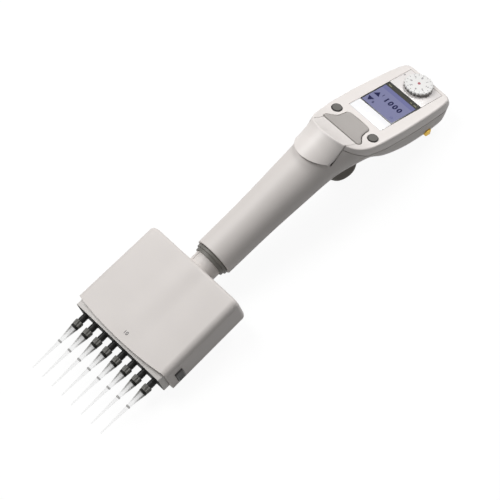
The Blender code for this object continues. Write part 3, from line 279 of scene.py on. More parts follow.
class Look(Enum):
    """Every surface that the pipette has, by the piece that wears it."""

    # Moulded ABS, spark-eroded tool: a warm pale grey with an even satin and a barely seen grain
    HOUSING = Finish("moulded_abs_warm_grey", "#DDD7D3", 0.5)
    # The same ABS from a finer tool, so a little smoother, and painted a little whiter as painted light
    # where the head's face catches more of the lamp
    HEAD = Finish("moulded_abs_painted_light", "#E8E2DE", 0.38, grain=(0.4, 0.008))
    # Polypropylene bar, softer and milkier than the ABS
    COMB = Finish("moulded_polypropylene_white", "#E4E0DC", 0.45, ior=1.49)
    # Printed polyester strip: bright white and slightly glossy
    LABEL = Finish(
        "printed_polyester_white", "#FAFAFC", 0.25, ior=1.57, grain=(0.6, 0.002), wander=0.005, coat=0.2,
    )
    # Acrylic plate with a painted back: off-white and smooth
    PLATE = Finish(
        "painted_acrylic_white", "#E6E1DF", 0.30, ior=1.49, grain=(0.6, 0.004), wander=0.01, coat=0.1,
    )
    # Moulded acetal dial: white cap, and its side, where the fingers turn it, painted grey as painted shade
    DIAL = Finish("moulded_acetal_white", "#E9E8E6", 0.35, ior=1.48, grain=(0.5, 0.006), wander=0.01)
    DIAL_SIDE = Finish("acetal_painted_side_shade", "#8B8885", 0.45, ior=1.48, grain=(0.5, 0.006))
    # Silicone rubber keys: matt, with the rim painted darker as painted shade where it turns down
    ROCKER = Finish("moulded_silicone_grey", "#ADA8A4", 0.55, ior=1.43, grain=(0.6, 0.02), wander=0.03)
    SOFTKEY = Finish("moulded_silicone_dark_grey", "#605E5A", 0.55, ior=1.43, grain=(0.5, 0.02))
    KEY_RIM = Finish("silicone_painted_rim_shade", "#3A3836", 0.6, ior=1.43, grain=(0.5, 0.02))
    # Glass-filled nylon ring: mid grey with a dry sheen
    RING = Finish("glass_filled_nylon_grey", "#6F6C66", 0.5, ior=1.53, grain=(0.4, 0.02), wander=0.04)
    # The same nylon left charcoal, smooth enough to press
    LATCH = Finish("moulded_nylon_charcoal", "#2E2C2A", 0.5, ior=1.53, grain=(0.5, 0.015))
    # Thermoplastic elastomer: matt dark grip with a coarse leather-like grain
    GRIP = Finish("moulded_elastomer_grey_brown", "#6B665F", 0.75, ior=1.45, grain=(0.9, 0.04), wander=0.06)
    # Turned and polished PPS: near black with a soft gloss
    CONE = Finish("turned_pps_black", "#0E0E0C", 0.45, grain=(0.4, 0.004), shine=0.25)
    # Moulded polypropylene collar: milky grey ribs over a foot that looks black against the clear tip
    COLLAR = Finish("moulded_polypropylene_grey", "#74736E", 0.5, ior=1.49, grain=(0.5, 0.008), wander=0.04)
    COLLAR_FOOT = Finish("moulded_polypropylene_black", "#171714", 0.6, ior=1.49, shine=0.2)
    # Clear polypropylene: almost unseen face on, grey along its edges, with a painted brown-grey shade under
    # the collar
    CLEAR = Finish(
        "blown_polypropylene_clear", "#A5A4A0", 0.3, ior=1.49, grain=(1.0, 0.0005), clear=0.04,
        shade=(25.0, 35.5),
    )
    # The ring moulded round the tip: thicker, so greyer
    CLEAR_RING = Finish(
        "blown_polypropylene_ring", "#77756F", 0.3, ior=1.49, grain=(1.0, 0.0005), clear=0.45,
    )
    # Moulded ABS left black for the inner plates, and black as painted shade on the comb's underside, where
    # only a dark gap shows
    BLACK = Finish("black_abs_and_painted_shade", "#131311", 0.7, shine=0.2)
    # Toughened glass over a black print: deep, sharp gloss
    GLASS_FRAME = Finish("printed_glass_black", "#0E0E0D", 0.25, ior=1.5, grain=(1.0, 0.0005), wander=0.01)
    # Lit liquid crystal behind glass: even lavender blue that glows a little
    SCREEN = Finish(
        "backlit_crystal_blue", "#666892", 0.35, ior=1.45, grain=(1.0, 0.0005), wander=0.03, glow=0.03,
    )
    # Its title band in a deeper blue, and the status bar in olive with pale marks
    SCREEN_BAND = Finish(
        "backlit_crystal_deep_blue", "#53568C", 0.35, ior=1.45, grain=(1.0, 0.0005), glow=0.03,
    )
    SCREEN_BAR = Finish("backlit_crystal_olive", "#2B2A1F", 0.4, ior=1.45, shine=0.25, grain=(1.0, 0.0005))
    SCREEN_MARK = Finish("backlit_crystal_pale", "#8A886C", 0.4, ior=1.45, shine=0.25, grain=(1.0, 0.0005))
    # Dark segments of the crystal: navy where driven fully, faint where not, and without gloss
    INK = Finish("crystal_ink_navy", "#0F1140", 0.6, ior=1.4, grain=(1.0, 0.0005), shine=0.2)
    FAINT_INK = Finish("crystal_ink_faint", "#42467F", 0.6, ior=1.4, shine=0.2, grain=(1.0, 0.0005))
    # Pad-printed epoxy ink: flat grey, too thin to catch the light
    PRINT = Finish("pad_print_grey", "#454246", 0.5, grain=(0.5, 0.001))
    DIAL_PRINT = Finish("pad_print_pale_grey", "#7C797C", 0.5, grain=(0.5, 0.001))
    # Acetal plug pressed into the dial: small, deep red and half glossy
    RED_DOT = Finish("moulded_acetal_red", "#A02A42", 0.35, ior=1.48, grain=(0.5, 0.002))
    # Gold-plated brass: warm and bright, with fine scratches from the charging stand
    GOLD = Finish("plated_gold", "#CBA850", 0.28, metallic=1.0, grain=(0.3, 0.004), wander=0.06)
    # Ground stainless steel, with marks drawn out along the axis
    STEEL = Finish("ground_stainless_steel", "#B9BABC", 0.28, metallic=1.0, stretch=(1.0, 0.06, 1.0))
    # Milled aluminium: brighter than the steel, with the cutter's lines across it
    ALUMINIUM = Finish("milled_aluminium", "#C4C6C8", 0.35, metallic=1.0, stretch=(0.08, 1.0, 1.0))
    # Solder mask over woven glass: green, glossy, with the weave showing as a broad ripple
    BOARD = Finish("solder_mask_green", "#1D5A38", 0.4, ior=1.55, grain=(0.9, 0.02), wander=0.12, coat=0.3)
    # Shrink-wrapped cell: blue PVC film, slightly wrinkled under a gloss
    CELL = Finish("shrink_wrap_blue", "#2F5F95", 0.35, ior=1.54, grain=(1.3, 0.02), coat=0.4)


@dataclass(frozen=True)
class FacePlane:
    """The sloping display face, flat above and curved forward into a thumb shelf below.

    Attributes:
        y: the depth of the display's centre.
        z: that centre's height.
        tilt: how far the face leans back, in radians.
        shelf_start: the face height under which it curves forward.
        shelf_curve: how fast it curves there.
    """

    y: float = 17.3
    z: float = 271.9
    tilt: float = math.radians(28.1)
    shelf_start: float = -34.0
    shelf_curve: float = 0.0138

    def point(self, x: float, v: float, h: float) -> Vector:
        """Turn a place on the face (across, up, out) into the pipette's frame."""
        y = self.y + v * math.sin(self.tilt) - h * math.cos(self.tilt)
        return Vector((x, y, self.z + v * math.cos(self.tilt) + h * math.sin(self.tilt)))

    def lift(self, v: float) -> float:
        """Give how far the thumb shelf curves forward of the flat face at a face height."""
        return self.shelf_curve * min(v - self.shelf_start, 0.0) ** 2

    def depth_at(self, z: float) -> float:
        """Give the y of the flat face, or of the shelf below it, at a height.

        Args:
            z: the height on the pipette.

        Returns:
            The surface's y there.
        """
        start = self.z + self.shelf_start * math.cos(self.tilt)
        if z >= start:
            return self.y + (z - self.z) * math.tan(self.tilt)
        square = self.shelf_curve * math.sin(self.tilt)
        linear = math.cos(self.tilt)
        root = math.sqrt(max(linear * linear - 4 * square * (start - z), 0.0))
        below = (root - linear) / (2 * square)
        return self.point(0, self.shelf_start + below, self.shelf_curve * below * below).y


FACE = FacePlane()


def smooth_row(rows: Sequence[Sequence[float]], at: float) -> list[float]:
    """Read a row between the rows of a table, along a smooth curve through them.

    Args:
        rows: the table, sorted by its first column.
        at: the value of the first column to read at.

    Returns:
        The other columns there.
    """
    at = min(max(at, rows[0][0]), rows[-1][0])
    index = 0
    while index < len(rows) - 2 and at > rows[index + 1][0]:
        index += 1
    low = rows[index]
    high = rows[index + 1]
    before = rows[max(index - 1, 0)]
    after = rows[min(index + 2, len(rows) - 1)]
    span = high[0] - low[0]
    t = (at - low[0]) / span
    result = []
    for column in range(1, len(low)):
        slope_low = (high[column] - before[column]) / (high[0] - before[0]) * span
        slope_high = (after[column] - low[column]) / (after[0] - low[0]) * span
        result.append(
            (2 * t**3 - 3 * t**2 + 1) * low[column]
            + (t**3 - 2 * t**2 + t) * slope_low
            + (3 * t**2 - 2 * t**3) * high[column]
            + (t**3 - t**2) * slope_high
        )
    return result


def bend(begin: Vector, corner: Vector, end: Vector, steps: int) -> list[Vector]:
    """Give the points of a soft bend round a corner, both ends with it."""
    shares = [step / steps for step in range(steps + 1)]
    return [(1 - t) ** 2 * begin + 2 * t * (1 - t) * corner + t * t * end for t in shares]


def rounded(corners: Outline, radius: float, steps: int = 3) -> list[Point]:
    """Round every corner of a closed outline.

    Args:
        corners: the outline's corners in order.
        radius: how far from each corner the rounding starts, at most.
        steps: how many pieces each rounding has.

    Returns:
        The rounded outline.
    """
    points: list[Point] = []
    for index, corner in enumerate(corners):
        here = Vector(corner)
        before = Vector(corners[index - 1]) - here
        after = Vector(corners[(index + 1) % len(corners)]) - here
        reach = min(radius, before.length * 0.45, after.length * 0.45)
        begin = here + before.normalized() * reach
        end = here + after.normalized() * reach
        points += [tuple(place) for place in bend(begin, here, end, steps)]
    return points


def grown(corners: Outline, distance: float) -> list[Point]:
    """Move every edge of an anticlockwise outline outwards.

    Args:
        corners: the outline's corners in order.
        distance: how far the edges move.

    Returns:
        The moved outline.
    """
    points = [Vector(corner) for corner in corners]
    result = []
    for index, corner in enumerate(points):
        arriving = (corner - points[index - 1]).normalized()
        leaving = (points[(index + 1) % len(points)] - corner).normalized()
        normal = Vector((arriving.y, -arriving.x))
        halfway = (normal + Vector((leaving.y, -leaving.x))).normalized()
        result.append(tuple(corner + halfway * (distance / max(halfway.dot(normal), 0.3))))
    return result


def curved(corners: Outline, steps: int) -> list[Point]:
    """Draw a smooth closed curve through a loop of points.

    Args:
        corners: the points that it passes.
        steps: how many pieces lie between two of them.

    Returns:
        The points along the curve.
    """
    result = []
    count = len(corners)
    for index in range(count):
        before, here, after, beyond = (Vector(corners[(index + shift) % count]) for shift in (-1, 0, 1, 2))
        for t in (step / steps for step in range(steps)):
            square = 2 * before - 5 * here + 4 * after - beyond
            cube = 3 * here - before - 3 * after + beyond
            result.append(tuple(0.5 * (2 * here + (after - before) * t + square * t * t + cube * t**3)))
    return result


def circle(radius: float, x: float = 0.0, y: float = 0.0, facets: int = 48) -> list[Point]:
    """Give a circle about (x, y) as an anticlockwise outline."""
    turns = [2 * math.pi * step / facets for step in range(facets)]
    return [(x + radius * math.cos(turn), y + radius * math.sin(turn)) for turn in turns]


def upright(half_width: float, bottom: float, top: float, x: float = 0.0) -> list[Point]:
    """Give an upright box as an anticlockwise outline."""
    return [(x - half_width, bottom), (x + half_width, bottom), (x + half_width, top), (x - half_width, top)]


def fluted(radius: float, depth: float, flutes: int, start: int) -> list[Point]:
    """Give a circle with grooves round it, six points to each.

    Args:
        radius: the radius outside the grooves.
        depth: how deep they are.
        flutes: how many there are.
        start: one where the first groove lies at the start, and minus one where it follows.

    Returns:
        Its points, from the middle.
    """
    points = []
    for step in range(6 * flutes):
        turn = 2 * math.pi * step / (6 * flutes)
        reach = radius - depth * (0.5 + start * 0.5 * math.cos(flutes * turn))
        points.append((reach * math.cos(turn), reach * math.sin(turn)))
    return points


def tidied(solid: BMesh) -> BMesh:
    """Merge a solid's doubles and turn its faces outwards.

    Args:
        solid: the solid, which this changes.

    Returns:
        The same solid.
    """
    bmesh.ops.remove_doubles(solid, verts=solid.verts, dist=MERGE)
    bmesh.ops.dissolve_degenerate(solid, edges=solid.edges, dist=MERGE)
    bmesh.ops.recalc_face_normals(solid, faces=solid.faces)
    return solid


def softened(solid: BMesh, edges: Iterable[Any], radius: float) -> None:
    """Round some edges of a solid, which this changes."""
    bmesh.ops.bevel(
        solid, geom=list(edges), offset=radius, segments=3, profile=0.5, affect="EDGES", material=-1,
        clamp_overlap=True,
    )


def carried(
    solid: BMesh, face: BMFace, corners: Sequence[BMVert], ring: Sequence[Vector]
) -> tuple[BMFace, list[BMVert]]:
    """Extrude a face and set its corners on the next section.

    Args:
        solid: the mesh that holds the face.
        face: the face that is carried on.
        corners: its corners, in the section's order.
        ring: where they go.

    Returns:
        The face at the new section, and its corners in the same order.
    """
    made = bmesh.ops.extrude_face_region(solid, geom=[face])
    end = next(item for item in made["geom"] if isinstance(item, BMFace))
    fresh = set(end.verts)
    following = []
    for corner, place in zip(corners, ring):
        partner = next(other for edge in corner.link_edges if (other := edge.other_vert(corner)) in fresh)
        partner.co = place
        following.append(partner)
    return end, following


def loft(rings: Sequence[Sequence[Vector]], edge: float = 0.0) -> BMesh:
    """Extrude a first section through the sections that follow it.

    Args:
        rings: closed sections with the same number of points.
        edge: the radius that rounds the last section's rim.

    Returns:
        The closed solid.
    """
    solid = bmesh.new()
    bmesh.ops.create_circle(solid, cap_ends=True, segments=len(rings[0]), radius=1.0)
    solid.faces.ensure_lookup_table()
    face = solid.faces[0]
    corners = list(face.verts)
    for corner, place in zip(corners, rings[0]):
        corner.co = place
    for number, ring in enumerate(rings[1:]):
        start = face
        face, corners = carried(solid, face, corners, ring)
        if number:
            solid.faces.remove(start)
    if edge:
        bmesh.ops.recalc_face_normals(solid, faces=solid.faces)
        softened(solid, face.edges, edge)
    return tidied(solid)


def sidelong(outline: Outline, half_width: float) -> BMesh:
    """Extrude an outline of (y, z) points along x, the same to both sides."""
    return loft([[Vector((side, y, z)) for y, z in outline] for side in (-half_width, half_width)])


def raised(outline: Outline, inner: float, outer: float, edge: float = 0.0) -> BMesh:
    """Extrude an outline of (x, v) points out of the face, and round the edge that stands out."""
    return loft([[FACE.point(x, v, height) for x, v in outline] for height in (inner, outer)], edge)


def spun(profile: Outline, x: float = 0.0, y: float = 0.0, facets: int = 64) -> BMesh:
    """Spin an outline of (radius, z) points about an upright axis.

    Args:
        profile: the outline. It closes on itself unless it starts on the axis.
        x: the axis's place across.
        y: the axis's depth.
        facets: how many flats a full turn has.

    Returns:
        The turned solid.
    """
    solid = bmesh.new()
    corners = [solid.verts.new((x + radius, y, z)) for radius, z in profile]
    following = corners[1:] if profile[0][0] < MERGE else corners[1:] + corners[:1]
    edges = [solid.edges.new(pair) for pair in zip(corners, following)]
    bmesh.ops.spin(
        solid, geom=corners + edges, cent=(x, y, 0.0), axis=(0.0, 0.0, 1.0), angle=2 * math.pi, steps=facets,
        use_merge=True,
    )
    return tidied(solid)


def rod(
    radius: float, bottom: float, top: float, x: float = 0.0, y: float = 0.0, facets: int = 48
) -> BMesh:
    """Make a straight round bar."""
    return spun(((0.0, bottom), (radius, bottom), (radius, top), (0.0, top)), x, y, facets)


def block(low: Sequence[float], high: Sequence[float], edge: float = 0.0) -> BMesh:
    """Make a box between two corners.

    Args:
        low: its lowest corner.
        high: its highest corner.
        edge: the radius of its edges, or nought for sharp ones.

    Returns:
        The solid.
    """
    solid = bmesh.new()
    bmesh.ops.create_cube(solid, size=1.0)
    bmesh.ops.scale(solid, vec=Vector(high) - Vector(low), verts=solid.verts)
    bmesh.ops.translate(solid, vec=(Vector(high) + Vector(low)) / 2, verts=solid.verts)
    if edge:
        softened(solid, solid.edges, edge)
    return solid


def beside(side: int, low: Sequence[float], high: Sequence[float], edge: float = 0.0) -> BMesh:
    """Make a box on the right for a side of one, or its mirror image on the left for minus one."""
    near, far = sorted((side * low[0], side * high[0]))
    return block((near, low[1], low[2]), (far, high[1], high[2]), edge)


def sheet(columns: int, rows: int, place: Callable[[float, float], Vector]) -> BMesh:
    """Lay a grid over a surface.

    Args:
        columns: how many faces it has across.
        rows: how many faces it has down.
        place: gives the surface's point from two shares of nought to one.

    Returns:
        The open sheet, with its faces towards the front.
    """
    surface = bmesh.new()
    bmesh.ops.create_grid(surface, x_segments=columns, y_segments=rows, size=0.5)
    for vertex in surface.verts:
        vertex.co = place(vertex.co.x + 0.5, vertex.co.y + 0.5)
    surface.normal_update()
    if sum(face.normal.y for face in surface.faces) > 0:
        bmesh.ops.reverse_faces(surface, faces=surface.faces)
        surface.normal_update()
    return surface


def thickened(surface: BMesh, offset: Callable[[Vector, Vector], Vector]) -> BMesh:
    """Give an open sheet a back, and close its edge.

    Args:
        surface: the sheet, which becomes the solid.
        offset: gives how far a point's back lies from it, from the point and its normal.

    Returns:
        The closed solid.
    """
    moves = {tuple(vertex.co): offset(vertex.co, vertex.normal) for vertex in surface.verts}
    made = bmesh.ops.extrude_face_region(surface, geom=surface.faces[:])
    for item in made["geom"]:
        if isinstance(item, BMVert):
            item.co += moves[tuple(item.co)]
    bmesh.ops.recalc_face_normals(surface, faces=surface.faces)
    return surface


def mark_faces(solid: BMesh, test: Callable[[Vector, Vector], bool], index: int) -> None:
    """Give the faces that pass a test another material index.

    Args:
        solid: the solid that they belong to.
        test: says from a face's centre and normal whether it passes.
        index: the index that it then gets.
    """
    solid.normal_update()
    for face in solid.faces:
        if test(face.calc_center_median(), face.normal):
            face.material_index = index


def placed(name: str, data: Any) -> bpy.types.Object:
    """Put something into the scene.

    Args:
        name: what the object is called.
        data: what it shows. A solid becomes a mesh and is freed.

    Returns:
        The new object.
    """
    if isinstance(data, BMesh):
        mesh = bpy.data.meshes.new(name)
        data.to_mesh(mesh)
        data.free()
        data = mesh
    shown = bpy.data.objects.new(name, data)
    bpy.context.scene.collection.objects.link(shown)
    return shown


class Carver:
    """Cuts solids with each other by exact Booleans."""

    def __init__(self, solid: BMesh) -> None:
        """Start from a solid, which this takes over."""
        self._base = placed("carved", solid)
        self._tools: list[bpy.types.Object] = []

    def _combine(self, tool: BMesh, operation: str) -> Carver:
        """Queue one Boolean.

        Args:
            tool: the other solid.
            operation: what is done with it.

        Returns:
            This carver.
        """
        helper = placed("tool", tool)
        modifier = self._base.modifiers.new("carve", "BOOLEAN")
        modifier.object = helper
        modifier.operation = operation
        modifier.solver = "EXACT"
        self._tools.append(helper)
        return self

    def cut(self, tool: BMesh) -> Carver:
        """Take a tool's room out of the solid."""
        return self._combine(tool, "DIFFERENCE")

    def keep(self, tool: BMesh) -> Carver:
        """Keep only what lies inside a tool."""
        return self._combine(tool, "INTERSECT")

    def join(self, tool: BMesh) -> Carver:
        """Add a tool's room to the solid."""
        return self._combine(tool, "UNION")

    def done(self) -> BMesh:
        """Give the finished solid and clear up.

        Returns:
            The carved solid.
        """
        graph = bpy.context.evaluated_depsgraph_get()
        shown = self._base.evaluated_get(graph)
        result = bmesh.new()
        result.from_mesh(shown.to_mesh())
        shown.to_mesh_clear()
        for helper in (self._base, *self._tools):
            mesh = helper.data
            bpy.data.objects.remove(helper)
            bpy.data.meshes.remove(mesh)
        bmesh.ops.dissolve_degenerate(result, edges=result.edges, dist=SLIVER)
        return result


class Workshop:
    """Adds finished pieces to the scene, and paints them.

    Attributes:
        print_depth: half the thickness of printed digits.
        digit_size: the font's size for digits one millimetre high.
    """

    print_depth: float = 0.02
    digit_size: float = 1.4

    def __init__(self) -> None:
        """Start with no materials."""
        self._materials: dict[Look, bpy.types.Material] = {}

    def material(self, look: Look) -> bpy.types.Material:
        """Give the material of a look, making it the first time.

        Args:
            look: the surface.

        Returns:
            Its material.
        """
        if look not in self._materials:
            self._materials[look] = look.value.material()
        return self._materials[look]

    def add(
        self,
        name: str,
        solid: BMesh,
        looks: Look | Sequence[Look],
        body: str,
        slot: str,
        replaces: str | None = None,
        sharp: float = 32.0,
    ) -> None:
        """Turn a solid into a piece that rides on a body.

        Args:
            name: the piece's name.
            solid: its solid in the pipette's frame, which this frees.
            looks: its surface, or one for each material index of its faces.
            body: the body it rides on.
            slot: the name of a material slot; it is not used.
            replaces: the CAD node it stands for, if any.
            sharp: edges over this many degrees stay crisp.
        """
        solid.transform(BENCH.matrix())
        piece = placed(name, solid)
        mesh = piece.data
        mesh.shade_smooth()
        mesh.set_sharp_from_angle(angle=math.radians(sharp))
        for look in (looks,) if isinstance(looks, Look) else looks:
            mesh.materials.append(self.material(look))
        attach(piece, body)
        if replaces:
            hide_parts(replaces)
        log.info("%s has %d faces", name, len(mesh.polygons))

    def paint(self, node: bpy.types.Object, look: Look) -> None:
        """Give a carried-over CAD node a better material.

        Args:
            node: the node's object.
            look: its surface.
        """
        node.data.materials.clear()
        node.data.materials.append(self.material(look))
        log.info("%s is painted", node.name)

    def digits(self, text: str, height: float, spacing: float = 1.0, weight: float = 0.0) -> BMesh:
        """Give thin solid digits, centred, with their face towards +z and their feet towards -y.

        Args:
            text: what to write.
            height: the digits' height.
            spacing: how far apart they stand, as a share of the usual.
            weight: how much bolder than usual they are.

        Returns:
            The digits' solid.
        """
        curve = bpy.data.curves.new("digits", "FONT")
        curve.body = text
        curve.align_x = "CENTER"
        curve.align_y = "CENTER"
        curve.size = height * self.digit_size
        curve.space_character = spacing
        curve.offset = weight
        curve.extrude = self.print_depth
        curve.resolution_u = 3
        shown = placed("digits", curve)
        drawn = shown.evaluated_get(bpy.context.evaluated_depsgraph_get())
        result = bmesh.new()
        result.from_mesh(drawn.to_mesh())
        drawn.to_mesh_clear()
        bpy.data.objects.remove(shown)
        bpy.data.curves.remove(curve)
        return tidied(result)


@dataclass(frozen=True)
class TipRow:
    """The disposable tips, each a clear cone with a fine ring, under a ribbed collar.

    Attributes:
        length: a tip's length.
        foot: the collar's lower end.
        bore: the collar's inner radius.
        cone: the clear part's outside and inside, as (radius, z).
        collar: the collar's sections, as (z, radius, depth of its grooves).
        ribs: how many ribs a collar has.
        rib_start: where the grooves start.
        ring_core: the radius outside which the ring's walls are grey.
    """

    length: float = 40.0
    foot: float = 34.6
    bore: float = 2.35
    cone: Outline = (
        (0.2, 0.0), (0.42, 0.0), (0.62, 8.0), (1.12, 22.2), (1.42, 22.5), (1.42, 23.2), (1.22, 23.5),
        (2.1, 31.5), (2.5, 34.6), (2.05, 34.6), (1.7, 31.5), (0.85, 23.5), (0.8, 22.2), (0.32, 8.0),
    )
    collar: Sequence[Place] = (
        (34.6, 2.6, 0.0), (36.1, 2.65, 0.0), (36.3, 2.7, 0.3), (37.0, 2.85, 0.6), (39.2, 3.0, 0.62),
        (40.0, 2.85, 0.5),
    )
    ribs: int = 9
    rib_start: float = 36.2
    ring_core: float = 1.1

    def build(self, shop: Workshop) -> None:
        """Make every tip and its collar.

        Args:
            shop: where the pieces are added.
        """
        low = self.cone[3][1]
        high = self.cone[6][1]
        for number, x in enumerate(CHANNEL_X, 1):
            body = f"tip_{number}"
            clear = spun(self.cone, x, 0.0, 32)

            def in_ring(place: Vector, _: Vector, axis: Vector = Vector((x, 0))) -> bool:
                """Say whether a face belongs to the ring."""
                return low < place.z < high and (place.xy - axis).length > self.ring_core

            mark_faces(clear, in_ring, 1)
            looks = (Look.CLEAR, Look.CLEAR_RING)
            shop.add(f"clear_tip_{number}", clear, looks, body, "clear_tip", sharp=50)
            rings = [self._ring(x, z, radius, depth) for z, radius, depth in self.collar]
            rings += [self._ring(x, z, self.bore, 0.0) for z in (self.length, self.foot + 0.2)]
            collar = loft(rings)
            mark_faces(collar, lambda place, _: place.z < self.rib_start, 1)
            looks = (Look.COLLAR, Look.COLLAR_FOOT)
            shop.add(f"tip_collar_{number}", collar, looks, body, "clear_tip", body, 40)

    def _ring(self, x: float, z: float, radius: float, depth: float) -> list[Vector]:
        """Give one section of a collar, with its grooves between the ribs."""
        return [Vector((x + across, along, z)) for across, along in fluted(radius, depth, self.ribs, -1)]


@dataclass(frozen=True)
class ConeRow:
    """The nose cones that the tips sit on, each with sealing grooves, a body and a flange.

    Attributes:
        profile: a cone's outline, as (radius, z).
    """

    profile: Outline = (
        (0.95, 35.4), (1.8, 35.4), (2.05, 36.2), (2.05, 37.6), (1.85, 37.8), (1.85, 38.4), (2.05, 38.6),
        (2.05, 40.2), (2.2, 40.9), (2.2, 43.4), (2.05, 43.5), (2.05, 43.9), (2.2, 44.0), (2.2, 52.6),
        (3.0, 52.9), (3.0, 56.2), (3.7, 56.2), (3.7, 58.2), (2.6, 58.2), (2.6, 69.0), (0.95, 69.0),
    )

    def build(self, shop: Workshop) -> None:
        """Make every cone.

        Args:
            shop: where the pieces are added.
        """
        for number, x in enumerate(CHANNEL_X, 1):
            node = f"nose_cone_{number}"
            cone = spun(self.profile, x, 0.0, 32)
            shop.add(f"cone_{number}", cone, Look.CONE, node, "black_plastic", node, 35)


@dataclass(frozen=True)
class EjectorComb:
    """The pale bar across the cones, with its underside painted black as painted shade, and two arms up into
    the housing.

    Attributes:
        low: the bar's lowest corner.
        high: its highest corner.
        edge: the radius of its edges.
        hole: the radius of the holes for the cones.
        arm_low: the right arm's lowest corner.
        arm_high: its highest corner.
    """

    low: Place = (-37.4, -8.7, 45.2)
    high: Place = (37.4, 6.9, 52.6)
    edge: float = 0.5
    hole: float = 2.75
    arm_low: Place = (34.8, -7.4, 51.0)
    arm_high: Place = (36.6, -4.6, 99.7)

    def build(self, shop: Workshop) -> None:
        """Make the comb.

        Args:
            shop: where the piece is added.
        """
        carver = Carver(block(self.low, self.high, self.edge))
        for side, _ in SIDES:
            carver.join(beside(side, self.arm_low, self.arm_high))
        for x in CHANNEL_X:
            carver.cut(rod(self.hole, self.low[2] - PAST, self.high[2] + PAST, x, 0.0, 32))
        comb = carver.done()
        # The bar's underside is painted black as painted shade
        mark_faces(comb, lambda place, normal: normal.z < -0.4 and place.z < self.low[2] + self.edge, 1)
        looks = (Look.COMB, Look.BLACK)
        shop.add("comb_bar", comb, looks, "ejector_comb", "pale_housing", "ejector_comb")


